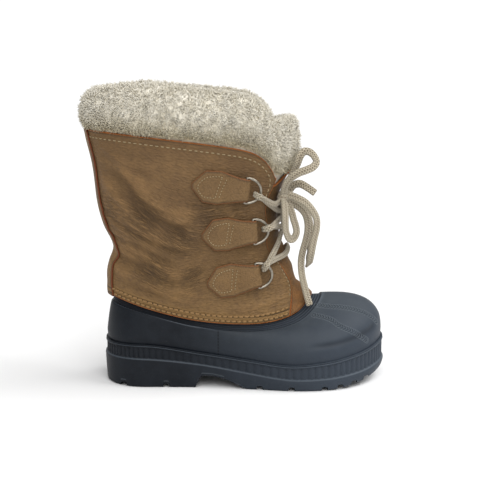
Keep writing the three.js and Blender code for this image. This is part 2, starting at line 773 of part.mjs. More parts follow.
// The cuff ends at the quarters' front edges, and its lining stops short of the tongue's.
function shearlingCuff() {
  const end = facingAround(0.97) - 0.012;
  const tongueEdge = facingAround(CUFF_DOWN_SHARE, TONGUE_OVERLAP) - 0.035;
  const loops = times(CUFF_COLUMNS + 1, (i) => {
    const around = end * (1 - 2 * i / CUFF_COLUMNS);
    const down = Math.abs(around) > tongueEdge ? 0.97 : CUFF_DOWN_SHARE;
    return furSection(around, i, down, 1, SEAT);
  });
  return loft(loops, false);
}

function tongueShearling() {
  const columns = 12;
  const start = facingAround(0.97) + 0.002;
  const loops = times(columns + 1, (i) => {
    const around = mix(start, 1 - start, i / columns);
    const centred = 1 - Math.abs(2 * i / columns - 1);
    const top = mix(1, TONGUE_TOP_SHARE, 1 - Math.cos(centred * Math.PI / 2)) + 0.01;
    return furSection(around, i + 1, 0.78, top, TONGUE_THICKNESS + 3 * SEAT);
  });
  return loft(loops, false);
}

// Place on the shaft of an X and a Z on one side.
function sidePlace(x, z, side) {
  let low = 0;
  let high = 1;
  let around = 0;
  for (let i = 0; i < 24; i += 1) {
    const up = (low + high) / 2;
    const row = sectionAt(up);
    around = aroundAt((x - row.back) / (row.front - row.back));
    if (shaft(around, up).z < z) {
      low = up;
    } else {
      high = up;
    }
  }
  return { around: side < 0 ? around : 1 - around, up: low };
}

// Point of the shaft's face there, moved out by a distance.
function sidePoint(x, z, side, distance) {
  const { around, up } = sidePlace(x, z, side);
  return offset(shaft, around, up, distance);
}

const tabs = TABS.map((tab) => ({
  name: tab.name,
  tipX: SOLE_LENGTH * tab.tipX,
  tipZ: SHAFT_HEIGHT * tab.tipZ,
  foldX: SOLE_LENGTH * tab.foldX,
  foldZ: SHAFT_HEIGHT * tab.foldZ,
}));

// The frame of a tab's fold: its place on the leather, and the directions to the throat, up the tab and out.
function foldFrame(tab, side) {
  const run = new THREE.Vector2(tab.foldX - tab.tipX, tab.foldZ - tab.tipZ).normalize();
  const at = (d, q) => {
    const x = tab.foldX + d * run.x - q * run.y;
    const z = tab.foldZ + d * run.y + q * run.x;
    return sidePoint(x, z, side, GAP + LEATHER);
  };
  const origin = at(0, 0);
  const along = at(3, 0).sub(at(-3, 0)).normalize();
  const up = at(0, 3).sub(at(0, -3)).normalize();
  const out = new THREE.Vector3().crossVectors(along, up).multiplyScalar(-side).normalize();
  if (out.y * side < 0) {
    out.negate();
  }
  const straight = new THREE.Vector3().crossVectors(out, along).normalize();
  if (straight.z < 0) {
    straight.negate();
  }
  return { run, at, origin, along, up: straight, out };
}

const BAR_HEIGHT = TAB_LIFT + TAB_LEATHER + GAP + WIRE / 2;
const FOLD_RADIUS = WIRE / 2 + GAP + TAB_LEATHER / 2;

// The tab's strip: out over the ring's bar, round it and back under itself.
function tabGeometry(tab, side) {
  const frame = foldFrame(tab, side);
  const length = Math.hypot(tab.foldX - tab.tipX, tab.foldZ - tab.tipZ);
  const flat = TAB_LIFT + TAB_LEATHER / 2;
  const over = BAR_HEIGHT + FOLD_RADIUS;
  const step = TAB_LEATHER + GAP;
  const path = [0, 0.24, 0.38, 0.52].map((share) => ({ d: (share - 1) * length, h: flat, share }));
  path.push({ d: -TAB_RETURN - 0.5, h: flat + step, share: 1 - TAB_RETURN / length });
  path.push({ d: -TAB_RETURN / 2, h: mix(flat + step, over, 0.6), share: 1 - TAB_RETURN / 2 / length });
  for (const angle of [90, 45, 0, -45, -90]) {
    const q = angle * Math.PI / 180;
    path.push({ d: FOLD_RADIUS * Math.cos(q), h: BAR_HEIGHT + FOLD_RADIUS * Math.sin(q), share: 1 });
  }
  path.push({ d: -TAB_RETURN + 1.5, h: flat, share: 1 });
  const place = (d, q, h) => {
    if (d < -TAB_RETURN / 3) {
      const { run } = frame;
      const x = tab.foldX + d * run.x - q * run.y;
      const z = tab.foldZ + d * run.y + q * run.x;
      return sidePoint(x, z, side, GAP + LEATHER + h);
    }
    return frame.origin.clone().addScaledVector(frame.along, d).addScaledVector(frame.up, q)
      .addScaledVector(frame.out, h);
  };
  const loops = path.map((station, i) => {
    const before = path[Math.max(i - 1, 0)];
    const after = path[Math.min(i + 1, path.length - 1)];
    const run = new THREE.Vector2(after.d - before.d, after.h - before.h).normalize();
    const half = TAB_HALF * polygonal(TAB_SHAPE, 'along', Math.min(station.share, 1), 'half');
    const corner = (face, q) => place(
      station.d - run.y * face * TAB_LEATHER / 2,
      q,
      station.h + run.x * face * TAB_LEATHER / 2,
    );
    const top = [corner(1, -half), corner(1, 0), corner(1, half)];
    return [...top, corner(-1, half), corner(-1, 0), corner(-1, -half)];
  });
  return loft(loops, false);
}

// A wire ring: a straight bar in the tab's fold and a bow towards the throat, lifted a little off the
// leather.
const RING_LIFT = 1.5;

function ringGeometry(tab, side) {
  const frame = foldFrame(tab, side);
  const sides = 5;
  const bow = 9;
  const path = [{ d: 0, q: -RING_HALF * 0.35 }, { d: 0, q: RING_HALF * 0.35 }];
  for (let i = 0; i <= bow; i += 1) {
    const angle = Math.PI / 2 - Math.PI * i / bow;
    path.push({ d: RING_REACH * Math.cos(angle), q: RING_HALF * Math.sin(angle) });
  }
  const centre = new THREE.Vector2(RING_REACH * 0.35, 0);
  const loops = path.map(({ d, q }, i) => {
    const before = path[(i + path.length - 1) % path.length];
    const after = path[(i + 1) % path.length];
    const run = new THREE.Vector2(after.d - before.d, after.q - before.q).normalize();
    const away = new THREE.Vector2(run.y, -run.x);
    if (away.dot(new THREE.Vector2(d, q).sub(centre)) < 0) {
      away.negate();
    }
    return times(sides, (k) => {
      const angle = 2 * Math.PI * k / sides;
      const w = WIRE / 2 * Math.cos(angle);
      const h = WIRE / 2 * Math.sin(angle) + RING_LIFT * d / RING_REACH;
      return frame.origin.clone().addScaledVector(frame.along, d + away.x * w)
        .addScaledVector(frame.up, q + away.y * w).addScaledVector(frame.out, BAR_HEIGHT + h);
    });
  });
  return loft(loops, true);
}

// A flat strand through points, each with the direction that the strand's flat face looks in.
function strand(stations, extra) {
  const sides = 5;
  const loops = stations.map((station, i) => {
    const before = stations[Math.max(i - 1, 0)].at;
    const after = stations[Math.min(i + 1, stations.length - 1)].at;
    const run = after.clone().sub(before).normalize();
    const wide = new THREE.Vector3().crossVectors(run, station.out).normalize();
    const deep = new THREE.Vector3().crossVectors(wide, run).normalize();
    return times(sides, (k) => {
      const angle = 2 * Math.PI * k / sides;
      return station.at.clone().addScaledVector(wide, (STRAND_WIDTH / 2 + extra) * Math.cos(angle))
        .addScaledVector(deep, (STRAND_THICKNESS / 2 + extra) * Math.sin(angle));
    });
  });
  return solid(loft(loops, false));
}

// The strand's turn round a ring's wire: inside the bow, over the wire, and on towards the tongue.
function ringTurn(tab, side) {
  const frame = foldFrame(tab, side);
  const angle = RING_HOLD[tab.name] * Math.PI / 180;
  const clear = WIRE / 2 + GAP + STRAND_THICKNESS / 2 + SEAT;
  const at = (ahead, lift) => frame.origin.clone()
    .addScaledVector(frame.along, (RING_REACH + ahead) * Math.cos(angle))
    .addScaledVector(frame.up, (RING_HALF + ahead) * Math.sin(angle))
    .addScaledVector(frame.out, BAR_HEIGHT + RING_LIFT * Math.cos(angle) + lift);
  const wire = at(0, 0);
  return {
    place: sidePlace(wire.x, wire.z, side),
    turn: [
      { at: at(-clear - 1, -1), out: frame.along.clone().multiplyScalar(-1) },
      { at: at(-clear * 0.7, clear * 0.8), out: frame.out.clone().addScaledVector(frame.along, -1) },
      { at: at(clear * 0.7, clear * 0.9), out: frame.out },
    ],
  };
}

// The stretch over the quarters' edges and the tongue, between two places on the shaft.
const OVER_EDGE = 8;
const OVER_TONGUE = 3.2;
const STRAND_SHARES = [0.26, 0.42, 0.58, 0.74];

function overTongue(a, b, rise) {
  return STRAND_SHARES.map((share) => {
    const around = mix(a.around, b.around, share);
    const up = mix(a.up, b.up, share) + rise * Math.sin(Math.PI * share);
    const height = mix(OVER_EDGE, OVER_TONGUE, Math.sin(Math.PI * share) ** 0.7);
    return { at: offset(shaft, around, up, height), out: normalOf(shaft, around, up) };
  });
}

function knotGeometry(extra) {
  const out = normalOf(shaft, KNOT.around, KNOT.up);
  const wide = new THREE.Vector3(-out.y, out.x, 0).normalize();
  const tall = new THREE.Vector3().crossVectors(out, wide);
  const place = new THREE.Matrix4().makeBasis(wide, tall, out);
  place.setPosition(offset(shaft, KNOT.around, KNOT.up, KNOT_DEEP));
  return new THREE.SphereGeometry(1, 9, 6)
    .scale(KNOT_WIDE + extra, KNOT_WIDE + extra, KNOT_DEEP + extra).applyMatrix4(place);
}

function laceBars(extra) {
  const tabOf = (name) => tabs.find((tab) => tab.name === name);
  const strands = LACING.map(({ from, to, rise }) => {
    const a = ringTurn(tabOf(from), -1);
    const b = ringTurn(tabOf(to), 1);
    const between = overTongue(a.place, b.place, rise);
    return strand([...a.turn, ...between, ...b.turn.reverse()], extra);
  });
  for (const side of [-1, 1]) {
    const ring = ringTurn(tabOf('top'), side);
    const target = { around: KNOT.around, up: KNOT.up };
    const shares = side < 0 ? [0.4, 0.8] : [0.25, 0.5, 0.8];
    const stations = shares.map((share) => {
      const around = mix(ring.place.around, target.around, share);
      const up = mix(ring.place.up, target.up, share);
      const at = offset(shaft, around, up, mix(OVER_EDGE, KNOT_DEEP, share));
      return { at, out: normalOf(shaft, around, up) };
    });
    strands.push(strand([...ring.turn, ...stations], extra));
  }
  return strands.reduce((all, one) => all.add(one));
}

// The bow's loops and ends. Each keeps clear of the knot and of those before it.
function cordBody(cord, width) {
  const curve = new THREE.CatmullRomCurve3(cord.points.map(([x, y, z]) => (
    new THREE.Vector3(SOLE_LENGTH * x, BALL_WIDTH * y, SHAFT_HEIGHT * z))));
  const section = new THREE.Shape(times(8, (k) => {
    const angle = 2 * Math.PI * (k + 0.5) / 8;
    return new THREE.Vector2(width / 2 * Math.cos(angle), width / 2 * Math.sin(angle));
  }));
  const options = { steps: cord.steps, extrudePath: curve, bevelEnabled: false };
  return solid(new THREE.ExtrudeGeometry(section, options));
}

function largest(body) {
  return body.decompose().reduce((best, one) => (one.volume() > best.volume() ? one : best));
}

function addCords() {
  let taken = solid(knotGeometry(GAP)).add(laceBars(GAP));
  for (const cord of CORDS) {
    const free = largest(cordBody(cord, CORD).subtract(taken));
    add(cord.name, meshed(free.asOriginal().simplify(FINE)), LACE);
    taken = taken.add(cordBody(cord, CORD + 2 * SEAT));
  }
}

add('outsole', outsole(), TREAD_RUBBER);
add('rubber_shell', rubberShell(), RUBBER);
add('insole', insole(), PAD);
add('leather_upper', leatherUpper(), TAN_LEATHER);
add('backstay', backstay(), TAN_LEATHER);
add('tongue', tongue(), TAN_LEATHER);
add('shearling_cuff', shearlingCuff(), SHEEP_FUR);
add('tongue_shearling', tongueShearling(), SHEEP_FUR);
for (const [name, side] of [['outer', -1], ['inner', 1]]) {
  for (const tab of tabs) {
    add(`lace_tab_${name}_${tab.name}`, tabGeometry(tab, side), TAB_FINISH);
    add(`d_ring_${name}_${tab.name}`, ringGeometry(tab, side), NICKEL);
  }
}

const bars = laceBars(0).subtract(solid(knotGeometry(GAP)));
add('lace_bars', meshed(bars.asOriginal().simplify(FINE)), LACE);
add('lace_knot', knotGeometry(0), LACE);
addCords();

export default boot;
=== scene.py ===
"""Dresses the packed snow boot. Sizes are in millimetres in the maths and in metres in the meshes."""

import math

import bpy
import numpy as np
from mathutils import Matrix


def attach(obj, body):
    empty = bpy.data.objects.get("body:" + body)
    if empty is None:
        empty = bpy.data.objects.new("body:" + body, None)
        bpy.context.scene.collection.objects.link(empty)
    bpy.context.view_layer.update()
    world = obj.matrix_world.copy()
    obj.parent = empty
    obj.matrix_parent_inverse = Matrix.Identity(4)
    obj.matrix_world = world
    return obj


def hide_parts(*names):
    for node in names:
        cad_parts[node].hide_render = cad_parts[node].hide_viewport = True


bl_info = {
    "name": "Snow Boot",
    "version": (1, 0, 0),
    "blender": (4, 5, 0),
    "location": "View3D > Sidebar > Boot",
    "description": "Rubber foot, leather shaft, shearling, rings and laces of a snow boot",
    "category": "Object",
}

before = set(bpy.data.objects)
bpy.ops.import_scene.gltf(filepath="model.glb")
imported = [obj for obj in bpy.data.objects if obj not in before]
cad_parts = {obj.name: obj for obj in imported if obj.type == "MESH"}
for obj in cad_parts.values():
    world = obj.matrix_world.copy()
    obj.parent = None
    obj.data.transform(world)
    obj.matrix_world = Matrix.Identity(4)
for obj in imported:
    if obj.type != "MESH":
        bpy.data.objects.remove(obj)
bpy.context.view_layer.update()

MM = 0.001
TAU = 2 * math.pi

# Sizes shared with the part's source, in millimetres
GAP = 0.3
SEAT = 0.5
SOLE_LENGTH = 240
HEEL_BACK = 36
BALL_WIDTH = 98
HEEL_ROUND = 0.15
TOE_ROUND = 0.2
HEEL_POWER = 2.1
TOE_POWER = 2.3
RIM = 2.4
RIB_DEPTH = 1.0
LEDGE_DEPTH = 1.4
BEAD_HEIGHT = 2.6
RIBS = 112
# Cuts under the sole: the arch's outline as X and Z, and the grooves as shares of the length.
CUT_DEEP = 11
ARCH_BACK = ((42, -CUT_DEEP), (42, 0), (46.5, 9.4), (48.4, 10.8), (51, 11))
ARCH_FRONT = ((51, 11, 0), (60, 10.3, 0), (72, 6.4, 0), (86, 0, 0))
HEEL_GROOVES = (0.075, 0.225)
FRONT_GROOVES = (0.55, 0.66, 0.775, 0.83, 0.88, 0.925)
GROOVE_HIGH = 3.6
SHELL_WALL = 3
# Points round the shell, and the depth of its soft hollow.
SHELL_COLUMNS = 560
HOLLOW_DEEP = 1.2
LIP_STEP = 1.3
FLANGE_UP = 0.055
LEATHER = 2.2
THROAT_CENTRE = 4
LEAD = 0.33


def table(names, *rows):
    """Named columns of numbers, one row for each place."""
    return dict(zip(names.split(), np.array(rows, float).T))


PLAN = table(
    "along outer inner",
    (0, 0.36, 0.36), (0.15, 0.365, 0.36), (0.3, 0.37, 0.35), (0.42, 0.39, 0.345), (0.55, 0.44, 0.395),
    (0.66, 0.48, 0.46), (0.75, 0.475, 0.495), (0.85, 0.425, 0.505), (0.95, 0.35, 0.49), (1, 0.3, 0.46),
)
SIDE = table(
    "along tread ledge top",
    (0, 0, 25, 36.8), (0.17, 0, 24.6, 36.7), (0.34, 0, 20.6, 30.8), (0.51, 0, 14.4, 25.6),
    (0.65, 0, 10.2, 22.2), (0.78, 0, 10.6, 24.4), (0.86, 2.2, 12.4, 27.6), (0.93, 5.2, 14.6, 31),
    (1, 11, 18.5, 36),
)
SECTIONS = table(
    "up back front half widest nose tail",
    (0, -28, 139.5, 32, 0.62, 2, 2.5), (0.13, -29, 128.5, 32.5, 0.6, 2, 2.4),
    (0.29, -24, 123.5, 33, 0.56, 2, 2.2), (0.43, -32, 117, 33.5, 0.53, 2.1, 2.2),
    (0.57, -36.4, 113, 35, 0.5, 2.2, 2.2), (0.81, -40.4, 112.5, 37, 0.5, 2.3, 2.2),
    (1, -46.2, 118.5, 38.5, 0.5, 2.3, 2.2), (1.12, -49, 129.5, 39, 0.5, 2.3, 2.2),
)
EDGE = table(
    "along height",
    (0, 75.5), (0.21, 65.2), (0.45, 56.8), (0.69, 54), (0.83, 55.6), (0.93, 61), (1, 71.5),
)
COLLAR = table(
    "along height",
    (0, 214.5), (0.22, 211), (0.47, 206.5), (0.71, 201), (0.82, 196.5), (0.88, 190), (0.92, 181),
    (0.94, 174.5), (1, 172),
)
LIP = {"back": -29, "front": 150, "half": 35, "widest": 0.6, "nose": 2.1, "tail": 2.5}
LIP_HEIGHT = table(
    "along height",
    (0, 67), (0.19, 59.5), (0.42, 50.5), (0.56, 47.3), (0.745, 47.3), (0.88, 52.4), (0.96, 62), (1, 71.5),
)
DOME = table("along power", (0, 1.25), (0.45, 1.4), (0.65, 1.8), (0.85, 2.5), (1, 2.9))
FACING = table(
    "up reach",
    (0, 120.5), (0.15, 121.5), (0.33, 113), (0.45, 101.5), (0.6, 101.5), (0.72, 99.5), (0.84, 102),
    (1, 108.4),
)
FUR = table(
    "along height out thick",
    (0, 31, 4, 17), (0.3, 40, 4.5, 18), (0.55, 41, 4.5, 18), (0.8, 44, 4, 16), (0.93, 45, 2, 10),
    (1, 51, 0, 12),
)
# The fur's rolled section, from the collar over the top and down inside.
FUR_SECTION = table(
    "at out deep rise",
    (0, 0.1, 0, 0.06), (0.14, 0.9, 0, 0.22), (0.29, 1.15, 0, 0.5), (0.43, 0.6, 0.05, 0.8),
    (0.57, 0, 0.35, 0.99), (0.71, 0, 0.75, 0.9), (0.86, 0, 1, 0.6), (1, 0, 0.85, 0.25),
)


def track(rows, key, at, name):
    """Cubic through a table's rows; each row's slope is that of the line between its neighbours."""
    x, y = rows[key], rows[name]
    slope = np.gradient(y, x)
    slope[1:-1] = (y[2:] - y[:-2]) / (x[2:] - x[:-2])
    at = np.asarray(at, float)
    i = np.clip(np.searchsorted(x, at, side="left") - 1, 0, len(x) - 2)
    span = x[i + 1] - x[i]
    q = (at - x[i]) / span
    rise = y[i] * (1 + 2 * q) * (1 - q) ** 2 + y[i + 1] * q * q * (3 - 2 * q)
    return rise + span * q * (1 - q) * (slope[i] * (1 - q) - slope[i + 1] * q)


def share_at(around):
    """Share of the length: half of one minus the cosine of the turn."""
    return (1 - np.cos(TAU * np.asarray(around, float))) / 2


def lead_at(around):
    """The share, run ahead by LEAD times what is left of it."""
    share = share_at(around)
    return share * (1 + LEAD * (1 - share))


def around_at(lead):
    """The place around whose lead is given: the quadratic of lead_at solved for the share."""
    lead = np.clip(lead, 0, 1)
    share = ((1 + LEAD) - np.sqrt((1 + LEAD) ** 2 - 4 * LEAD * lead)) / (2 * LEAD)
    return np.arccos(np.clip(1 - 2 * share, -1, 1)) / TAU


def side_of(around):
    """-1 on the outer side, the first half of the turn, and +1 on the inner side."""
    return np.where(np.mod(around, 1) < 0.5, -1.0, 1.0)


def outline(around, inset=0.0):
    """The sole's plan: half widths from the table, ends rounded by superellipses, set in along the normal."""

    def edge(a):
        share = share_at(a)
        outer = BALL_WIDTH * track(PLAN, "along", share, "outer")
        inner = BALL_WIDTH * track(PLAN, "along", share, "inner")
        heel = 1 - np.clip(1 - share / HEEL_ROUND, 0, 1) ** HEEL_POWER
        toe = 1 - np.clip(1 - (1 - share) / TOE_ROUND, 0, 1) ** TOE_POWER
        round_off = np.clip(heel, 0, 1) ** (1 / HEEL_POWER) * np.clip(toe, 0, 1) ** (1 / TOE_POWER)
        y = (inner - outer) / 2 + side_of(a) * (inner + outer) / 2 * round_off
        return np.stack([SOLE_LENGTH * share - HEEL_BACK, y], -1)

    step = 0.004
    run = edge(around + step) - edge(around - step)
    run /= np.linalg.norm(run, axis=-1, keepdims=True)
    normal = np.stack([-run[..., 1], run[..., 0]], -1)
    return edge(around) + normal * np.asarray(inset, float)[..., None]


def side_height(around, name):
    """Height of a line of the sole's side, never under the floor."""
    return np.maximum(track(SIDE, "along", share_at(around), name), 0)


def section_at(up):
    """The shaft's section at a height: each column of the table."""
    return {name: track(SECTIONS, "up", up, name) for name in SECTIONS if name != "up"}


def section_point(row, around, height):
    """A superellipse nose and tail about the widest place, the middle line moving inwards to the throat."""
    lead = lead_at(around)
    nose = np.clip((lead - row["widest"]) / (1 - row["widest"]), 0, 1)
    tail = np.clip((row["widest"] - lead) / row["widest"], 0, 1)
    half = (1 - nose ** row["nose"]) ** (1 / row["nose"]) * (1 - tail ** row["tail"]) ** (1 / row["tail"])
    y = THROAT_CENTRE * lead * lead + side_of(around) * half * row["half"]
    x = row["back"] + (row["front"] - row["back"]) * lead
    return np.stack(np.broadcast_arrays(x, y, height), -1)


def shaft(around, up):
    """The leather's inner face: the section at up, at a height between the lower edge and the collar."""
    around, up = np.broadcast_arrays(np.asarray(around, float), np.asarray(up, float))
    lead = lead_at(around)
    low = track(EDGE, "along", lead, "height")
    high = track(COLLAR, "along", lead, "height")
    return section_point(section_at(up), around, low + (high - low) * up)


def dome(around, rise):
    """The shell's face: a superellipse in height and width from the sole's edge to the foot of the lip."""
    around, rise = np.broadcast_arrays(np.asarray(around, float), np.asarray(rise, float))
    foot = outline(around, RIM + GAP)
    low = np.concatenate([foot, side_height(around, "top")[..., None]], -1)
    high = section_point(LIP, around, track(LIP_HEIGHT, "along", lead_at(around), "height"))
    power = 2 / track(DOME, "along", share_at(around), "power")
    out = np.maximum(np.cos(rise * math.pi / 2), 0) ** power
    lift = np.maximum(np.sin(rise * math.pi / 2), 0) ** power
    share = np.stack([out, out, 1 - lift], -1)
    return high + (low - high) * share


def unit(v):
    """Each vector at length 1."""
    return v / np.maximum(np.linalg.norm(v, axis=-1, keepdims=True), 1e-9)


def normal_of(surface, around, up):
    """Cross product of the steps around and up the surface."""
    around, up = np.broadcast_arrays(np.asarray(around, float), np.asarray(up, float))
    across = surface(around + 0.003, up) - surface(around - 0.003, up)
    rise = surface(around, up + 0.01) - surface(around, np.maximum(up - 0.01, 0))
    return unit(np.cross(across, rise))


def offset(surface, around, up, distance):
    """A surface's point moved out along its normal."""
    return surface(around, up) + normal_of(surface, around, up) * np.asarray(distance, float)[..., None]


def around_of(row, x):
    """Place around, on the outer side, where a section has this X."""
    return around_at((x - row["back"]) / (row["front"] - row["back"]))


def facing_around(up):
    """Where the quarter's front edge is, as a place around on the outer side."""
    return around_of(section_at(up), track(FACING, "up", up, "reach"))


def ramp(value, low, high):
    """0 under low, 1 over high and a straight ramp between."""
    return np.clip((value - low) / (high - low), 0, 1)


def smooth(value, low, high):
    """The smooth step 3q^2 - 2q^3 between two values."""
    q = ramp(value, low, high)
    return q * q * (3 - 2 * q)


def lattice(cell, seed):
    """A repeatable number from 0 to 1 for each whole-number cell, by integer hashing."""
    x, y, z = (cell[..., k] for k in range(3))
    h = (x * 73856093) ^ (y * 19349663) ^ (z * 83492791) ^ (seed * 2654435761)
    h = (h ^ (h >> 13)) * 1274126177
    return ((h ^ (h >> 16)) & 0xFFFF) / 65535.0


TURN = np.array([(0.36, 0.48, -0.8), (-0.8, 0.6, 0), (0.48, 0.64, 0.6)])


def noise(points, size, seed=0):
    """Smooth noise from -1 to 1, its bumps about size across: a turned lattice joined by smooth steps."""
    p = np.asarray(points, float) @ TURN / size
    cell = np.floor(p).astype(np.int64)
    q = p - cell
    q = q * q * (3 - 2 * q)
    total = 0
    for corner in np.ndindex(2, 2, 2):
        share = np.prod(np.where(corner, q, 1 - q), -1)
        total = total + share * lattice(cell + np.array(corner), seed)
    return 2 * total - 1


def clumps(points, size, seed=0):
    """Distance to the nearest of scattered centres, one in each cell: 0 at one, near 1 between."""
    p = np.asarray(points, float) @ TURN / size
    cell = np.floor(p).astype(np.int64)
    best = np.full(p.shape[:-1], 9.0)
    for corner in np.ndindex(3, 3, 3):
        near = cell + np.array(corner) - 1
        centre = near + np.stack([lattice(near, seed + k) for k in range(3)], -1)
        best = np.minimum(best, np.linalg.norm(p - centre, axis=-1))
    return best


def polyline_distance(points, line):
    """Distance of each plane point from a line of points, and the share along it of the nearest place."""
    points = np.asarray(points, float)
    line = np.asarray(line, float)
    steps = line[1:] - line[:-1]
    lengths = np.linalg.norm(steps, axis=-1)
    starts = np.concatenate([[0], np.cumsum(lengths)[:-1]]) / lengths.sum()
    best = np.full(points.shape[:-1], 1e9)
    along = np.zeros_like(best)
    for a, step, length, start in zip(line[:-1], steps, lengths, starts):
        t = np.clip(((points - a) @ step) / length ** 2, 0, 1)
        d = np.linalg.norm(points - a - t[..., None] * step, axis=-1)
        nearer = d < best
        best = np.where(nearer, d, best)
        along = np.where(nearer, start + t * length / lengths.sum(), along)
    return best, along


def curve_through(points, count):
    """Evenly spaced points and directions on a Catmull-Rom curve through given points."""
    p = np.asarray(points, float)
    p = np.concatenate([[2 * p[0] - p[1]], p, [2 * p[-1] - p[-2]]])
    t = np.linspace(0, len(p) - 3 - 1e-9, 40 * (len(p) - 3))
    i = t.astype(int)
    q = (t - i)[:, None]
    a, b, c, d = p[i], p[i + 1], p[i + 2], p[i + 3]
    bend, twist = 2 * a - 5 * b + 4 * c - d, 3 * b - a - 3 * c + d
    fine = 0.5 * (2 * b + (c - a) * q + bend * q ** 2 + twist * q ** 3)
    gone = run_of(fine)
    return along_path(np.linspace(0, gone[-1], count), gone, fine), gone[-1]


def run_of(path):
    """Length gone at each point of a path."""
    return np.concatenate([[0], np.cumsum(np.linalg.norm(np.diff(path, axis=0), axis=-1))])


def along_path(at, gone, path):
    """Points of a path, or of what goes with it, at lengths between those of its own points."""
    return np.stack([np.interp(at, gone, path[:, k]) for k in range(3)], -1)


def directions(path):
    """Unit directions along a path, from the points before and after."""
    return unit(np.gradient(path, axis=0))


def grid_faces(rows, columns, wrap=False, closed=False):
    """Quads of a grid of points in row order. It can wrap around, and its last row can join its first."""
    i = np.arange(rows if closed else rows - 1)[:, None]
    j = np.arange(columns if wrap else columns - 1)[None, :]
    k, after = (j + 1) % columns, (i + 1) % rows
    quads = [i * columns + j, i * columns + k, after * columns + k, after * columns + j]
    return np.stack(np.broadcast_arrays(*quads), -1).reshape(-1, 4)


def zip_faces(low, high):
    """Triangles between two lines of point numbers of different counts, joined at the nearest shares."""
    low, high = np.asarray(low), np.asarray(high)
    a = (np.arange(len(low) - 1) + 0.5) / (len(low) - 1)
    k = np.round(a * (len(high) - 1)).astype(int)
    first = np.stack([low[:-1], low[1:], high[k]], -1)
    j = np.arange(len(high) - 1)
    i = np.searchsorted(k, j + 1)
    second = np.stack([high[:-1], low[i], high[1:]], -1)
    return np.concatenate([first, second])


class Build:
    """Gathers points and faces of one piece, with numbers that its material reads, and makes its object."""

    def __init__(self):
        self.points, self.faces, self.values, self.count = [], [], [], 0

    def add(self, points, faces, **values):
        """Points, faces that count from the first of them, and a number at each point for each name."""
        points = np.asarray(points, float).reshape(-1, 3)
        self.points.append(points)
        faces = np.asarray(faces) + self.count
        self.faces.extend(faces.tolist())
        every = (len(points),)
        self.values.append({k: np.broadcast_to(v, np.shape(v) or every).ravel() for k, v in values.items()})
        self.count += len(points)
        return self

    def grid(self, points, wrap=False, **values):
        """Rows of points, joined by quads."""
        rows, columns = points.shape[:2]
        return self.add(points, grid_faces(rows, columns, wrap), **values)

    def object(self, name, material, sharp=None, outward=True):
        """The piece itself, smooth but for edges sharper than an angle, with its faces turned outwards."""
        mesh = bpy.data.meshes.new(name)
        mesh.from_pydata((np.concatenate(self.points) * MM).tolist(), [], self.faces)
        names = sorted({k for v in self.values for k in v})
        for key in names:
            data = [v.get(key, np.zeros(len(p))) for v, p in zip(self.values, self.points)]
            data = np.concatenate([np.broadcast_to(d, (len(p),)) for d, p in zip(data, self.points)])
            mesh.attributes.new(key, "FLOAT", "POINT").data.foreach_set("value", data.astype(np.float32))
        mesh.polygons.foreach_set("use_smooth", [True] * len(mesh.polygons))
        if sharp:
            mesh.set_sharp_from_angle(angle=math.radians(sharp))
        mesh.materials.append(material)
        mesh.update()
        piece = bpy.data.objects.new(name, mesh)
        bpy.context.scene.collection.objects.link(piece)
        if outward:
            face_outward(piece)
        return piece


def face_outward(piece):
    """Recalculates a mesh's normals outwards, one shell at a time."""
    bpy.context.view_layer.objects.active = piece
    piece.select_set(True)
    bpy.ops.object.mode_set(mode="EDIT")
    bpy.ops.mesh.select_all(action="SELECT")
    bpy.ops.mesh.normals_make_consistent(inside=False)
    bpy.ops.object.mode_set(mode="OBJECT")
    piece.select_set(False)


def stitches(build, path, out, pitch, thread, cover, sink):
    """Thread along a line: each stitch is a short tube that rises from its hole and dips into the next."""
    gone = run_of(path)
    count = max(int(gone[-1] / pitch), 1)
    centres = (np.arange(count) + 0.5) * gone[-1] / count
    stations, sides = 6, 6
    t = np.linspace(-1, 1, stations)
    at = centres[:, None] + t[None, :] * pitch * cover / 2
    spot = along_path(at, gone, path)
    lift = unit(along_path(at, gone, out))
    spot = spot + lift * ((1 - t ** 4) * thread - sink)[None, :, None]
    run = unit(spot[:, -1] - spot[:, 0])[:, None, :]
    across = unit(np.cross(run, lift))
    angle = TAU * np.arange(sides) / sides
    size = thread * (0.55 + 0.45 * np.sqrt(1 - t ** 2))[None, :, None, None]
    ring = across[:, :, None, :] * np.cos(angle)[:, None] + lift[:, :, None, :] * np.sin(angle)[:, None]
    points = spot[:, :, None, :] + ring * size
    faces = np.concatenate([grid_faces(stations, sides, True), [[0, 5, 4, 3], [0, 3, 2, 1]],
                            (stations - 1) * sides + np.array([[0, 1, 2, 3], [0, 3, 4, 5]])])
    step = stations * sides
    every = (faces[None] + step * np.arange(count)[:, None, None]).reshape(-1, 4)
    build.add(points, every, length=np.repeat(at.ravel(), sides), turn=np.tile(angle / TAU, count * stations))


class Value:
    """A shader number that Python's operators join by Math nodes."""

    def __init__(self, tree, socket):
        self.tree, self.socket = tree, socket

    def math(self, operation, *others):
        node = self.tree.nodes.new("ShaderNodeMath")
        node.operation = operation
        for slot, other in zip(node.inputs, (self, *others)):
            plug(self.tree, slot, other)
        return Value(self.tree, node.outputs[0])

    def __add__(self, other):
        return self.math("ADD", other)

    def __sub__(self, other):
        return self.math("SUBTRACT", other)

    def __mul__(self, other):
        return self.math("MULTIPLY", other)

    def __rsub__(self, other):
        return (self * -1) + other

    __radd__, __rmul__ = __add__, __mul__

    def between(self, low, high):
        """0 under low, 1 over high and a straight ramp between."""
        return ((self - low) * (1 / (high - low))).math("MAXIMUM", 0).math("MINIMUM", 1)


def plug(tree, slot, value):
    """Links a socket, or sets a plain number, colour or vector on it."""
    if isinstance(value, Value):
        tree.links.new(value.socket, slot)
    elif isinstance(value, bpy.types.NodeSocket):
        tree.links.new(value, slot)
    else:
        slot.default_value = value


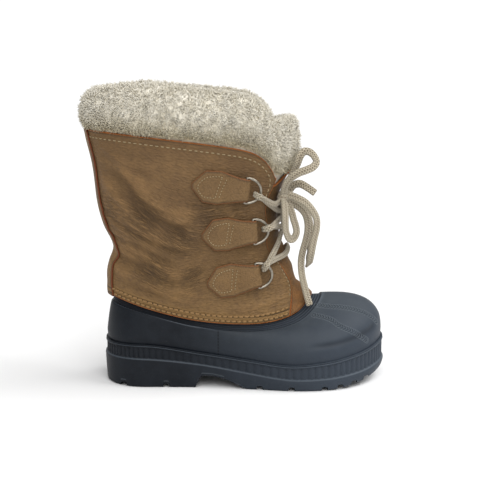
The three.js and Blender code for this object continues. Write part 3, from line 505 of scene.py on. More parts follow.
class Finish:
    """A material under construction, on object coordinates in metres."""

    def __init__(self, name):
        self.material = bpy.data.materials.new(name)
        self.material.use_nodes = True
        self.tree = self.material.node_tree
        self.shader = self.tree.nodes["Principled BSDF"]
        self.place = self.node("ShaderNodeTexCoord").outputs["Object"]

    def node(self, kind, settings=(), **sockets):
        """Any node: its settings first, then the values or links of its sockets."""
        node = self.tree.nodes.new(kind)
        for key, value in dict(settings).items():
            setattr(node, key, value)
        for key, value in sockets.items():
            plug(self.tree, node.inputs[key.replace("_", " ")], value)
        return node

    def number(self, attribute):
        """A number that the piece's own points carry."""
        node = self.node("ShaderNodeAttribute", {"attribute_name": attribute})
        return Value(self.tree, node.outputs["Fac"])

    def axis(self, letter):
        """One coordinate, in metres."""
        split = self.node("ShaderNodeSeparateXYZ", Vector=self.place)
        return Value(self.tree, split.outputs[letter])

    def joined(self, x, y, z=0.0):
        """A place made of three numbers, for grain that follows a piece's own lines."""
        return self.node("ShaderNodeCombineXYZ", X=x, Y=y, Z=z).outputs["Vector"]

    def noise(self, size_mm, detail=3.0, rough=0.55, vector=None, distortion=0.0):
        """Noise from 0 to 1 whose features are about this many millimetres across."""
        node = self.node("ShaderNodeTexNoise", Vector=vector or self.place, Scale=1 / (size_mm * MM),
                         Detail=detail, Roughness=rough, Distortion=distortion)
        return Value(self.tree, node.outputs["Fac"])

    def cells(self, size_mm, vector=None):
        """Distance from scattered spots: 0 at each, with about this many millimetres between them."""
        node = self.node("ShaderNodeTexVoronoi", Vector=vector or self.place, Scale=1 / (size_mm * MM))
        return Value(self.tree, node.outputs["Distance"])

    def mix(self, low, high, factor):
        """A colour between two, by a factor."""
        node = self.node("ShaderNodeMix", {"data_type": "RGBA"})
        for index, value in ((0, factor), (6, low), (7, high)):
            plug(self.tree, node.inputs[index], value)
        return node.outputs[2]

    def bump(self, height, depth_mm):
        """A normal that leans with a height, which counts for this many millimetres."""
        return self.node("ShaderNodeBump", Height=height, Distance=depth_mm * MM).outputs["Normal"]

    def layers(self, colour, *layers):
        """Tints laid over a colour one after another, each with its factor."""
        for tint, factor in layers:
            colour = self.mix(colour, tint, factor)
        return colour

    def done(self, colour, rough, normal=None, **fixed):
        """The finished material: colour, roughness, and plain values for the shader's other inputs."""
        plug(self.tree, self.shader.inputs["Base Color"], colour)
        plug(self.tree, self.shader.inputs["Roughness"], rough)
        if normal is not None:
            plug(self.tree, self.shader.inputs["Normal"], normal)
        for key, value in fixed.items():
            self.shader.inputs[key.replace("_", " ")].default_value = value
        return self.material


def wisps(build, points, normals, foot, length, width, seed):
    """Tapered tufts of wool: three-sided tubes from root to tip, each leaning and bending its own way."""
    chance = np.random.default_rng(seed)
    n = len(points)
    lean = unit(normals + 0.75 * chance.normal(size=(n, 3)) * 0.7)
    bend = unit(lean + 0.8 * chance.normal(size=(n, 3)) * 0.7)
    reach = length * chance.uniform(0.55, 1.25, (n, 1))
    across = unit(np.cross(lean, chance.normal(size=(n, 3))))
    other = np.cross(lean, across)
    angle = TAU * np.arange(3) / 3
    turn = angle[None, :, None]
    ring = (across[:, None] * np.cos(turn) + other[:, None] * np.sin(turn)) * width
    root, middle = points - lean * 0.8, points + lean * reach * 0.5
    tip = middle + bend * reach * 0.5
    every = np.concatenate([root[:, None] + ring, middle[:, None] + ring * 0.8, tip[:, None]], 1)
    step = 7 * np.arange(n)[:, None, None]
    quads = (np.array([(0, 1, 4, 3), (1, 2, 5, 4), (2, 0, 3, 5)])[None] + step).reshape(-1, 4)
    threes = (np.array([(2, 1, 0), (3, 4, 6), (4, 5, 6), (5, 3, 6)])[None] + step).reshape(-1, 3)
    start = build.count
    # Roots are marked for the most painted shade, tips for none.
    build.add(every, quads, deep=np.tile([0.5] * 3 + [0.25] * 3 + [0.0], n), foot=np.repeat(foot, 7))
    build.faces.extend((threes + start).tolist())


def rgb(red, green, blue):
    """A screen colour in 0 to 255, as linear light."""
    c = np.array([red, green, blue]) / 255
    linear = np.where(c <= 0.04045, c / 12.92, ((c + 0.055) / 1.055) ** 2.4)
    return (*linear.tolist(), 1.0)


# Lace tabs, rings and laces, as in the part's source
TAB_LEATHER = 1.6
TAB_LIFT = 0.6
TAB_RETURN = 12
# Places along a tab before its fold, and points across it.
TAB_STEPS = 26
TAB_COLUMNS = 19
WIRE = 2.2
WIRE_SIDES = 12
RING_HALF = 10.4
RING_REACH = 12.4
RING_LIFT = 1.5
BAR_HEIGHT = TAB_LIFT + TAB_LEATHER + GAP + WIRE / 2
FOLD_RADIUS = WIRE / 2 + GAP + TAB_LEATHER / 2
STRAND_WIDTH = 5
STRAND_THICKNESS = 3.4
CORD = 6
# Points round a lace's section, and the section's share of its size at the lace's ends.
LACE_SIDES = 16
LACE_END = 0.82
KNOT_DEEP = 5.4
# Each turn of the knot: its tilt, its reach across and out, and how far it slides along the knot.
KNOT_TURNS = ((0.15, 6.2, 4.2, 0.0), (1.35, 6.0, 3.9, 0.9), (2.3, 5.6, 3.8, -0.8))
TABS = {
    "low": ((52.8, 88.5), (92, 94.5)),
    "middle": ((48.3, 129), (88.5, 131.5)),
    "top": ((40.5, 171.5), (82.5, 166.5)),
}
TAB_SHAPE = table("along half", (0, 1.6), (0.24, 12.8), (0.52, 13.6), (0.86, 9.6), (1, 8.9))
RING_HOLD = {"low": 48, "middle": 14, "top": -22}
LACING = (
    ("low", "low", 0.06), ("low", "middle", 0.1), ("middle", "low", 0.05), ("middle", "top", 0.02),
    ("top", "middle", 0.02),
)
KNOT_AROUND, KNOT_UP = 0.456, 0.865
CORDS = {
    "lace_loop_a": (
        (115.5, -12.5, 159), (116.3, -16, 165.5), (118.8, -18.5, 171.4), (122.9, -20.5, 175.8),
        (128.4, -21.5, 179.3), (134.6, -21, 181.5), (139.8, -19, 183.8), (142.6, -16, 187.5),
        (140.6, -14, 192.3), (136.6, -13.5, 195.6), (132, -14, 195.6), (129, -14.5, 191.5),
        (127, -14, 185.5), (123.5, -12, 178), (120.3, -10.5, 171), (117.3, -8.5, 164.5), (115.5, -7, 158),
    ),
    "lace_end_a": (
        (112.5, -9, 153.5), (115.5, -7, 157), (121.5, -4.5, 163), (124.3, -4.5, 166.5), (129.7, -5, 168),
        (135.9, -6, 165), (142.7, -7, 160.3),
    ),
    "lace_loop_b": (
        (115.5, -12, 157), (116.4, -18, 153.5), (117, -22, 145.5), (117.2, -23, 137.3), (118, -22, 129.8),
        (120.6, -19, 124), (124.2, -15.8, 123.4), (126.8, -14.3, 128), (126.2, -14, 133.5),
        (124.4, -14, 139), (123, -14, 144.4), (120.5, -12.8, 150.5), (116.8, -10, 156),
    ),
    "lace_loop_c": (
        (115.5, -10, 158), (121, -13.3, 159.2), (127.6, -16, 157.2), (134.2, -16.5, 153.4),
        (140, -16, 146.7), (143.4, -15, 139.8), (143.6, -15, 132.1), (142, -15, 124.3), (140.4, -15, 116.5),
        (139.2, -14, 108.5), (138.2, -10.5, 101.8), (137.3, -5.5, 99.4), (137.3, -1.5, 103),
        (138.5, 0, 112), (139.5, 0.5, 124), (138.5, 0.5, 135.2), (134, -0.5, 146), (127, -3, 153),
        (116, -7, 158),
    ),
    "lace_end_b": (
        (115.5, -9, 156), (121.5, -9, 153), (128, -8, 149.6), (133.3, -8, 144.6), (136, -8, 138),
        (136.6, -8, 129.5), (135, -8, 120.1), (132.4, -8.5, 110.3), (131.2, -9.5, 101.7),
        (131.8, -12, 92.3), (133.9, -13.5, 82.7), (136.5, -14, 73.2), (138.6, -14.5, 65.8),
    ),
}
TONGUE_THICKNESS = 2
TONGUE_OVERLAP = 12
TONGUE_TOP = 1.09
TONGUE_SIDE_TOP = 0.9
TUCK = (0.07, 0.13)
SPREAD = (0.17, 0.27)
BACKSTAY_THICKNESS = 1.4
BACKSTAY_REACH = 12.4
PILE_LINING = 8
LINING_THICKNESS = 3
CUFF_DOWN = 0.7


def place_on_side(x, z, side):
    """Place around and up of an X and a Z on one side, found by halving the range of heights 24 times."""
    x, z = np.broadcast_arrays(np.asarray(x, float), np.asarray(z, float))
    low, high = np.zeros(x.shape), np.ones(x.shape)
    for _ in range(24):
        up = (low + high) / 2
        around = around_of(section_at(up), x)
        below = shaft(around, up)[..., 2] < z
        low, high = np.where(below, up, low), np.where(below, high, up)
    return (around if side < 0 else 1 - around), low


def side_point(x, z, side, distance):
    """Point off the shaft at an X and a Z on one side."""
    around, up = place_on_side(x, z, side)
    return offset(shaft, around, up, distance)


class Fold:
    """Where a tab folds round its ring's bar: origin on the leather, and directions along, up and out."""

    def __init__(self, name, side):
        (tip_x, tip_z), (fold_x, fold_z) = TABS[name]
        self.length = math.hypot(fold_x - tip_x, fold_z - tip_z)
        self.run = np.array([fold_x - tip_x, fold_z - tip_z]) / self.length
        self.fold, self.side = np.array([fold_x, fold_z]), side
        self.origin = self.on_leather(0, 0, 0)
        self.along = unit(self.on_leather(3, 0, 0) - self.on_leather(-3, 0, 0))
        rise = unit(self.on_leather(0, 3, 0) - self.on_leather(0, -3, 0))
        out = unit(np.cross(self.along, rise))
        self.out = out if out[1] * side > 0 else -out
        up = unit(np.cross(self.out, self.along))
        self.up = up if up[2] > 0 else -up

    def on_leather(self, d, q, h):
        """Point at d along and q up from the fold, h above the leather's outer face."""
        d, q, h = np.broadcast_arrays(*(np.asarray(v, float) for v in (d, q, h)))
        x = self.fold[0] + d * self.run[0] - q * self.run[1]
        z = self.fold[1] + d * self.run[1] + q * self.run[0]
        return side_point(x, z, self.side, GAP + LEATHER + h)

    def straight(self, d, q, h):
        """The same in the fold's own flat frame."""
        d, q, h = (np.asarray(v, float)[..., None] for v in np.broadcast_arrays(d, q, h))
        return self.origin + self.along * d + self.up * q + self.out * h

    def point(self, d, q, h):
        """On the leather far from the fold, and in its flat frame near it, joined smoothly."""
        near = smooth(np.asarray(d, float), -TAB_RETURN, -TAB_RETURN / 4)[..., None]
        return self.on_leather(d, q, h) * (1 - near) + self.straight(d, q, h) * near


def ring_turn(name, side):
    """The strand's turn round a ring's wire: inside the bow, over the wire, and on towards the tongue."""
    fold = Fold(name, side)
    angle = math.radians(RING_HOLD[name])
    clear = WIRE / 2 + GAP + STRAND_THICKNESS / 2 + SEAT

    def at(ahead, lift):
        return (fold.origin + fold.along * (RING_REACH + ahead) * math.cos(angle)
                + fold.up * (RING_HALF + ahead) * math.sin(angle)
                + fold.out * (BAR_HEIGHT + RING_LIFT * math.cos(angle) + lift))

    wire = at(0, 0)
    points = [at(-clear - 1, -1), at(-clear * 0.7, clear * 0.8), at(clear * 0.7, clear * 0.9)]
    outs = [-fold.along, fold.out - fold.along, fold.out]
    return place_on_side(wire[0], wire[2], side), points, outs


def strand_line(a, b, rise):
    """Points and facings of a strand from an outer ring's turn to an inner ring's, over the tongue."""
    (place_a, turn_a, out_a), (place_b, turn_b, out_b) = a, b
    share = np.array([0.26, 0.42, 0.58, 0.74])
    hump = np.sin(math.pi * share)
    around = place_a[0] + (place_b[0] - place_a[0]) * share
    up = place_a[1] + (place_b[1] - place_a[1]) * share + rise * hump
    middle = offset(shaft, around, up, 8 + (3.2 - 8) * hump ** 0.7)
    out = normal_of(shaft, around, up)
    return np.array([*turn_a, *middle, *turn_b[::-1]]), np.array([*out_a, *out, *out_b[::-1]])


def knot_strand(side):
    """A strand from a top ring's turn up to the knot."""
    place, turn, outs = ring_turn("top", side)
    share = np.array([0.4, 0.8] if side < 0 else [0.25, 0.5, 0.8])
    around = place[0] + (KNOT_AROUND - place[0]) * share
    up = place[1] + (KNOT_UP - place[1]) * share
    middle = offset(shaft, around, up, 8 + (KNOT_DEEP - 8) * share)
    return np.array([*turn, *middle]), np.array([*outs, *normal_of(shaft, around, up)])


def tongue_place(across, share):
    """Place around and up of the tongue: flush with the quarters low down, behind them higher up."""
    centred = 1 - np.abs(2 * across - 1)
    up = share * (TONGUE_SIDE_TOP + (TONGUE_TOP - TONGUE_SIDE_TOP) * (1 - np.cos(centred * math.pi / 2)))
    edge = track(FACING, "up", np.minimum(up, 1), "reach")
    start = around_of(section_at(up), edge + 2 * GAP - (TONGUE_OVERLAP + 2 * GAP) * ramp(up, *SPREAD))
    return start + (1 - 2 * start) * across, up


def fur_point(around, top, at):
    """Point of the fur's rolled section at a share of the way over it, above the leather's end."""
    lead = lead_at(around)
    base = shaft(around, top)
    height = track(FUR, "along", lead, "height") - base[..., 2] + shaft(around, np.ones_like(top))[..., 2]
    roll = {name: track(FUR_SECTION, "at", at, name) for name in ("out", "deep", "rise")}
    out = roll["out"] * track(FUR, "along", lead, "out") - roll["deep"] * track(FUR, "along", lead, "thick")
    away = normal_of(shaft, around, top)
    away[..., 2] = 0
    away = unit(away)
    up = np.array([0, 0, 1.0]) * (roll["rise"] * height)[..., None]
    return base + away * out[..., None] + up


def crease_plane(around, up):
    """The shaft unrolled: arc length round its middle section from the heel's back, and height."""
    steps = np.linspace(0, 0.5, 400)
    line = shaft(steps, np.full(400, 0.5))
    gone = run_of(line)
    turn = np.mod(np.asarray(around, float) + 0.5, 1) - 0.5
    return np.stack([np.sign(turn) * np.interp(np.abs(turn), steps, gone), shaft(around, up)[..., 2]], -1)


# Creases of the shaft. Each has a width, a depth, and its line as places around and up.
OUTER_CREASES = (
    (6, 2.6, ((0.07, 0.83), (0.105, 0.736), (0.118, 0.691), (0.146, 0.579), (0.182, 0.513), (0.207, 0.499),
                (0.24, 0.46))),
    (4, 1.5, ((0, 0.27), (0.0315, 0.2545), (0.071, 0.2285), (0.116, 0.2285), (0.143, 0.196), (0.17, 0.18),
              (0.2, 0.165))),
    (5, 1.2, ((0.1645, 0.186), (0.192, 0.212), (0.225, 0.2705), (0.255, 0.347), (0.292, 0.379),
              (0.358, 0.397))),
    (5, 1.5, ((0.206, 0.7355), (0.2375, 0.683), (0.275, 0.677), (0.311, 0.683), (0.325, 0.623),
              (0.368, 0.627))),
    (4.5, 1.0, ((0.258, 0.144), (0.312, 0.16), (0.363, 0.182), (0.388, 0.2265))),
    (2.4, 0.7, ((0.02, 0.4), (0.06, 0.37), (0.1, 0.36), (0.15, 0.31), (0.19, 0.28))),
    (2.2, 0.7, ((0.03, 0.56), (0.07, 0.5), (0.12, 0.43), (0.17, 0.385), (0.22, 0.37))),
    (2.2, 0.7, ((0.06, 0.64), (0.09, 0.6), (0.13, 0.505), (0.17, 0.45), (0.21, 0.43))),
    (2.2, 0.6, ((0.13, 0.66), (0.16, 0.61), (0.2, 0.58), (0.24, 0.6))),
    (3, 0.6, ((0.05, 0.9), (0.09, 0.84), (0.14, 0.8), (0.18, 0.78))),
    (3, 0.7, ((0.03, 0.13), (0.08, 0.1), (0.13, 0.09), (0.18, 0.1))),
    (2, 0.6, ((0.06, 0.3), (0.1, 0.29), (0.135, 0.245), (0.17, 0.225))),
    (2, 0.6, ((0.1, 0.17), (0.135, 0.16), (0.165, 0.13), (0.2, 0.125))),
)
INNER_CREASES = (
    (6.5, 1.8, ((-0.06, 0.68), (-0.1, 0.61), (-0.14, 0.57), (-0.19, 0.56), (-0.25, 0.6))),
    (4.5, 1.5, ((0, 0.27), (-0.04, 0.25), (-0.09, 0.21), (-0.14, 0.2), (-0.19, 0.23))),
    (5, 1.2, ((-0.17, 0.2), (-0.2, 0.25), (-0.24, 0.33), (-0.29, 0.37), (-0.35, 0.39))),
    (5, 1.2, ((-0.21, 0.7), (-0.25, 0.66), (-0.3, 0.65), (-0.36, 0.62))),
    (2.4, 0.7, ((-0.03, 0.46), (-0.08, 0.4), (-0.14, 0.37), (-0.2, 0.37))),
)
# Lines that the fine wrinkles follow: heights at each X, with the level that each line stands for.
WRINKLES = table(
    "x top under trough ankle foot",
    (-50, 205, 190, 168, 114, 70), (-19, 203, 178, 161.6, 110.7, 66), (2.6, 201, 170, 149.5, 100, 62),
    (17.6, 199, 163, 138.3, 91, 60), (34.3, 197, 157, 129, 91, 58), (47.2, 195, 155, 126, 97, 57),
    (60, 193, 156, 126, 102, 57), (80, 189, 160, 128, 107, 58), (125, 180, 168, 133, 112, 66),
)
WRINKLE_LEVELS = {"foot": 62, "ankle": 98, "trough": 138, "under": 165, "top": 198}
HEEL_FLARE = 1.3
# How far a cut rim bulges, and the distance from an edge given to a wall's back, which shows no edge.
RIM_BULGE = 0.35
FAR = 9.0
# How much longer pebbles and wrinkles are along the folds than across them.
PEBBLE_STRETCH = 2.3
WRINKLE_STRETCH = 7
EDGE_ROWS_APART = 4.1
# The rubber's mould line at this X, half the width of a herringbone band, and its bones in a millimetre.
MOULD_LINE = 61.6
BAND_HALF = 2.5
BONES = 0.42
# Crossings of the lace's braid in a millimetre.
BRAID = 0.45
# Where the wrinkles are strong: X, Z, reach and strength.
WRINKLED = ((0, 140, 26, 1.0), (30, 124, 22, 1.0), (10, 98, 22, 1.0), (40, 95, 16, 0.8), (55, 148, 22, 0.9),
            (-25, 150, 20, 0.8), (78, 150, 14, 0.7))


def wrinkle_place(around, up):
    """Numbers for the leather's finish: the level across the wrinkles, the run along them, their strength."""
    spot = shaft(around, up)
    x, z = spot[..., 0], spot[..., 2]
    level, low = np.zeros(x.shape), None
    for name, value in WRINKLE_LEVELS.items():
        height = track(WRINKLES, "x", np.clip(x, -50, 125), name)
        if low is None:
            level = value + (z - height)
        else:
            share = (z - low[0]) / (height - low[0])
            level = np.where(share > 0, low[1] + (value - low[1]) * share, level)
        low = (height, value)
    strength = 0.32
    for at_x, at_z, reach, strong in WRINKLED:
        strength = np.maximum(strength, strong * np.exp(-(((x - at_x) ** 2 + (z - at_z) ** 2) / reach ** 2)))
    return {"level": level, "run": crease_plane(around, up)[..., 0], "fine": strength}


def relief(around, up, depth=1.0):
    """How far creases and soft bulges move the leather: troughs with ridges beside, calm under the tabs."""
    around, up = np.broadcast_arrays(np.asarray(around, float), np.asarray(up, float))
    plane = crease_plane(around, up)
    total = 0.6 * noise(np.concatenate([plane, 0 * plane[..., :1]], -1), 24, 3)
    for width, deep, line in OUTER_CREASES + INNER_CREASES:
        line = np.array(line)
        d, along = polyline_distance(plane, crease_plane(line[:, 0], line[:, 1]))
        fade = smooth(along, 0, 0.18) * smooth(1 - along, 0, 0.18) if len(line) > 3 else 1
        total = total - deep * np.exp(-(d / width) ** 2) * fade
        total = total + 0.7 * deep * np.exp(-((d - 1.9 * width) / width) ** 2) * fade
    calm = np.ones(around.shape)
    for (tip_x, tip_z), (fold_x, fold_z) in TABS.values():
        for side in (-1, 1):
            a, u = place_on_side(np.array([tip_x + 6, fold_x + 8.0]), np.array([tip_z, fold_z * 1.0]), side)
            d, _ = polyline_distance(plane, crease_plane(np.where(a > 0.5, a - 1, a), u))
            calm = np.minimum(calm, smooth(d, 14, 24))
    edge = smooth(up, 0, 0.1) * smooth(1 - up, 0, 0.07)
    heel = np.exp(-((np.mod(around + 0.5, 1) - 0.5) / 0.05) ** 2) * (1 - smooth(up, 0.02, 0.09)) * HEEL_FLARE
    return depth * np.clip(total, -1.7, 2.6) * calm * edge + heel


def leather_face(around, up, lift=0.0, depth=1.0):
    """Point on the shaft's leather, creases and all, lifted by a distance."""
    return offset(shaft, around, up, GAP + LEATHER + lift + relief(around, up, depth))


def wall_piece(build, face, back, columns, rows, coarse, marks=None, **values):
    """A closed wall. face and back give points for shares across and up. The rim between is rounded."""
    far = {name: FAR for name in ("edge", "side", "foot", "head")}
    rounding = ((0.12, 0.7 * RIM_BULGE), (0.5, RIM_BULGE), (0.88, 0.7 * RIM_BULGE))
    u, v = np.meshgrid(np.linspace(0, 1, columns + 1), np.linspace(0, 1, rows + 1))
    front = face(u, v)
    across = np.linalg.norm(np.diff(front, axis=1), axis=-1)
    rise = np.linalg.norm(np.diff(front, axis=0), axis=-1)
    run = np.concatenate([np.zeros((rows + 1, 1)), np.cumsum(across, 1)], 1)
    foot = np.concatenate([np.zeros((1, columns + 1)), np.cumsum(rise, 0)], 0)
    side, head = np.minimum(run, run[:, -1:] - run), foot[-1:] - foot
    start = build.count
    own = {key: value.ravel() for key, value in marks(u, v).items()} if marks else {}
    build.grid(front, edge=np.minimum(side, np.minimum(foot, head)), side=side, foot=foot, head=head,
               **own, **values)
    cu, cv = np.meshgrid(np.linspace(0, 1, coarse[0] + 1), np.linspace(0, 1, coarse[1] + 1))
    behind = build.count
    build.add(back(cu, cv), grid_faces(coarse[1] + 1, coarse[0] + 1)[:, ::-1], inside=1.0, **far, **values)

    def sides(r, c):
        i = np.arange((r + 1) * (c + 1)).reshape(r + 1, c + 1)
        return [i[0, :], i[:, -1], i[-1, ::-1], i[::-1, 0]]

    fine, rough = sides(rows, columns), sides(coarse[1], coarse[0])
    inwards = np.array([(0, 0.02), (-0.01, 0), (0, -0.02), (0.01, 0)])
    loop = np.concatenate([s[:-1] for s in fine])
    step = np.concatenate([np.repeat(d[None], len(s) - 1, 0) for d, s in zip(inwards, fine)])
    corners = np.cumsum([0] + [len(s) - 1 for s in fine])
    step[corners[:-1]] += np.roll(inwards, 1, axis=0)
    fu, fv = u.ravel()[loop], v.ravel()[loop]
    outer, inner = front.reshape(-1, 3)[loop], back(fu, fv)
    away = unit(outer - face(fu + step[:, 0], fv + step[:, 1]))
    rings = np.array([outer * (1 - t) + inner * t + away * bulge for t, bulge in rounding])
    first, n = build.count, len(loop)
    build.grid(rings, wrap=True, rim=1.0, **{name: 0.0 for name in far}, **values)
    j = np.arange(n)
    k = (j + 1) % n
    build.faces.extend(np.stack([loop[k] + start, loop[j] + start, first + j, first + k], -1).tolist())
    for low, high, hidden in zip(corners[:-1], corners[1:], rough):
        ring = first + 2 * n + np.arange(low, high + 1) % n
        build.faces.extend([f[::-1] for f in zip_faces(ring, hidden + behind).tolist()])
    return build


def shade(colour, share):
    """A screen colour made darker or lighter by a share of itself."""
    return rgb(*[c * share for c in colour])


def leather_finish(name, light, dark, edge_colour, low_colour):
    """Oiled grain leather: mottled browns, pebbles, wrinkles along the folds, and raw cut rims; painted shade
    in creases, fine wrinkles and a band inside cut edges, painted highlights on ridges.
    """
    f = Finish(name)
    broad, cloudy, spots = f.noise(34, 3), f.noise(9, 4, 0.65), f.noise(2.2, 4, 0.7)
    run, level, grained = f.number("run"), f.number("level"), f.number("grained")
    low = (f.axis("Z") * -1 + 0.13).between(0, 0.08) * (cloudy * 1.6 - 0.2).between(0.1, 0.8)
    stretched = f.joined(run * (MM / PEBBLE_STRETCH), level * MM, f.noise(9) * MM)
    pebble = f.cells(1.3, stretched) * grained + f.cells(1.4) * (1 - grained)
    folds = f.noise(1.7, 2, 0.5, f.joined(run * (MM / WRINKLE_STRETCH), level * MM), 0.3)
    wrinkle = ((folds - 0.5).math("ABSOLUTE") * 6).between(0, 1)
    fine = f.number("fine").between(0.05, 0.95)
    foot, edge = f.number("foot"), f.number("edge")
    band = (1 - foot.between(7.5, 9)) * f.number("banded")
    rows = (foot * (1 / EDGE_ROWS_APART) - 0.061).math("PINGPONG", 0.5)
    colour = f.mix(rgb(*dark), rgb(*light), (broad * 1.3 + cloudy * 0.7 - 0.5).between(0.1, 0.85))
    colour = f.layers(
        colour,
        (rgb(*low_colour), low * 0.8),
        # Painted shade darkens the creases of the relief, and painted highlight lightens its ridges.
        (shade(dark, 0.55), f.number("dip").between(0.2, 1) * 0.2),
        (shade(light, 1.3), f.number("ridge").between(0.05, 0.8) * 0.35),
        # Painted shade darkens the fine wrinkle lines, which the bump also sinks.
        (shade(dark, 0.45), (1 - wrinkle) * fine * 0.6),
        (shade(dark, 0.5), pebble.between(0.4, 0.8) * 0.24),
        (shade(dark, 0.5), spots.between(0.58, 0.8) * 0.1),
        (shade(light, 1.3), (1 - spots).between(0.56, 0.78) * 0.12),
        (rgb(*low_colour), band * 0.8),
        (shade(dark, 0.5), rows.between(0.22, 0.4) * band * 0.75),
        # Painted shadow darkens a band just inside each cut edge, as an outline.
        (shade(dark, 0.55), (1 - edge.between(0.8, 2.2)) * 0.6),
        (rgb(*edge_colour), (1 - edge.between(0.3, 0.8)) * 0.5),
        (rgb(*edge_colour), f.number("rim").between(0.25, 0.75)),
        (rgb(112, 92, 70), f.number("inside").between(0.4, 0.6)),
    )
    height = (1 - pebble) * 1.0 + wrinkle * fine * 1.6 + f.noise(0.5, 3, 0.6) * 0.4
    rough = 0.5 + cloudy * 0.28 - spots.between(0.55, 0.8) * 0.1
    return f.done(colour, rough, f.bump(height, 0.6), Specular_IOR_Level=0.25)


def thread_finish(name, colour):
    """Twisted waxed thread: slanting plies along each stitch."""
    f = Finish(name)
    twist = (f.number("length") * 7 + f.number("turn") * 6.28).math("SINE")
    tone = f.mix(shade(colour, 0.6), rgb(*colour), twist * 0.35 + 0.5 + f.noise(6) * 0.2)
    return f.done(tone, 0.75, f.bump(twist, 0.12))


def rubber_finish(name):
    """Moulded rubber: blue black at the heel, dusty grey blue at the front, dust and painted sheen higher up,
    painted highlights on raised lines and painted shade in hollows.
    """
    f = Finish(name)
    dust, cloud, fine = f.noise(42, 4, 0.6), f.noise(9, 4, 0.65), f.noise(0.8, 3)
    forward = (f.axis("X") - 0.03).between(0, 0.13)
    # Dust and painted sheen: lighter and rougher high on the forward shell, in cloudy patches.
    bloom = f.number("bloom").between(0.15, 1) * forward * (dust * 1.4 - 0.2).between(0.1, 0.9)
    strip = f.number("strip")
    borders = 1 - (strip - BAND_HALF).math("ABSOLUTE").between(0.2, 0.55)
    band = (1 - strip.between(BAND_HALF - 0.4, BAND_HALF - 0.1)) * f.number("banded")
    bone = ((f.number("along") * BONES + strip * BONES) * TAU).math("SINE")
    seam = 1 - (f.axis("X") * (1 / MM) - MOULD_LINE).math("ABSOLUTE").between(0.3, 0.7)
    dots = (f.axis("Z") * 2400).math("SINE").between(-1.2, -0.2) * f.number("seam")
    grooves = (f.number("groove") * TAU).math("SINE") * f.number("lip").between(0.3, 0.7)
    colour = f.layers(
        f.mix(rgb(5, 8, 14), rgb(54, 61, 70), forward * 0.8 + cloud * 0.25),
        (rgb(88, 93, 94), bloom * 0.55),
        (rgb(112, 110, 100), f.noise(1.3, 5, 0.75).between(0.63, 0.75) * 0.3),
        # Painted highlights: light lines on the lip's edge, the sole's ledge and bead, and the raised band
        # borders.
        (rgb(88, 96, 104), f.number("line").between(0.2, 0.9) * 0.5),
        (rgb(104, 112, 118), borders * 0.3),
        (rgb(6, 8, 11), seam * dots * 0.8),
        # Painted shade darkens the soft hollow on the vamp.
        (rgb(20, 24, 30), f.number("sunk").between(0.1, 1) * 0.45),
        (rgb(96, 104, 110), bone.between(0, 0.8) * band * 0.4),
        # Painted shade darkens the fine grooves of the lip band.
        (rgb(9, 11, 15), (grooves * -1).between(0.2, 0.9) * 0.6),
    )
    height = bone * band * 0.6 + borders * 0.5 + grooves * 0.5 + fine * 0.22 + cloud * 0.3
    return f.done(colour, 0.4 + dust * 0.2 + bloom * 0.25, f.bump(height, 0.45), Specular_IOR_Level=0.16)


def wool_finish(name):
    """Sheep's wool: cream, greyer in the hollows by painted shade, and yellow grey where it meets the
    leather.
    """
    f = Finish(name)
    tuft, fine = f.noise(7, 4, 0.6), f.noise(1.1, 4, 0.7)
    colour = f.layers(
        f.mix(rgb(232, 227, 214), rgb(212, 205, 187), tuft.between(0.3, 0.7)),
        # Painted shade greys the hollows between clumps and the tufts' roots.
        (rgb(168, 154, 124), f.number("deep").between(0.4, 1) * 0.6),
        (rgb(172, 157, 116), f.number("foot").between(0.1, 1) * 0.75),
        (rgb(160, 147, 116), fine.between(0.58, 0.8) * 0.2),
    )
    height = f.noise(1.6, 5, 0.7) + f.cells(1.9) * 0.5
    return f.done(colour, 0.95, f.bump(height, 0.5), Sheen_Weight=0.25, Sheen_Roughness=0.6)


def lace_finish():
    """Flat braided lace: crossing strands and a groove along the middle, darkened by painted shade."""
    f = Finish("braided_lace")
    length, turn = f.number("length"), f.number("turn")
    one = ((length * BRAID + turn * 3) * TAU).math("SINE")
    other = ((length * BRAID - turn * 3) * TAU).math("SINE")
    braid = one.math("MAXIMUM", other)
    middle = 1 - (turn - 0.5).math("ABSOLUTE").between(0.02, 0.12)
    colour = f.layers(
        f.mix(rgb(112, 99, 77), rgb(196, 184, 160), braid.between(-0.3, 0.9) * 0.75 + f.noise(7) * 0.45),
        # Painted shade darkens the groove down the middle.
        (rgb(104, 90, 68), middle * 0.4),
        (rgb(88, 76, 56), f.noise(3, 5, 0.7).between(0.58, 0.75) * 0.45),
    )
    return f.done(colour, 0.9, f.bump(braid * 0.9 + f.noise(0.6, 3) * 0.5, 0.7), Sheen_Weight=0.2)


def nickel_finish():
    """Plated wire: bright, with small scratches and dull spots."""
    f = Finish("nickel_wire")
    wear = f.noise(2.2, 4, 0.7)
    colour = f.mix(rgb(152, 146, 134), rgb(92, 82, 68), wear.between(0.45, 0.7) * 0.7)
    return f.done(colour, 0.22 + wear * 0.22, f.bump(f.noise(0.7, 3), 0.05), Metallic=1.0)


def felt_finish():
    """Grey felt of the footbed."""
    f = Finish("wool_felt")
    fibres = f.noise(0.9, 5, 0.75)
    colour = f.mix(rgb(140, 132, 116), rgb(104, 96, 80), fibres.between(0.35, 0.7))
    return f.done(colour, 0.95, f.bump(fibres + f.noise(4, 3) * 0.5, 0.5))


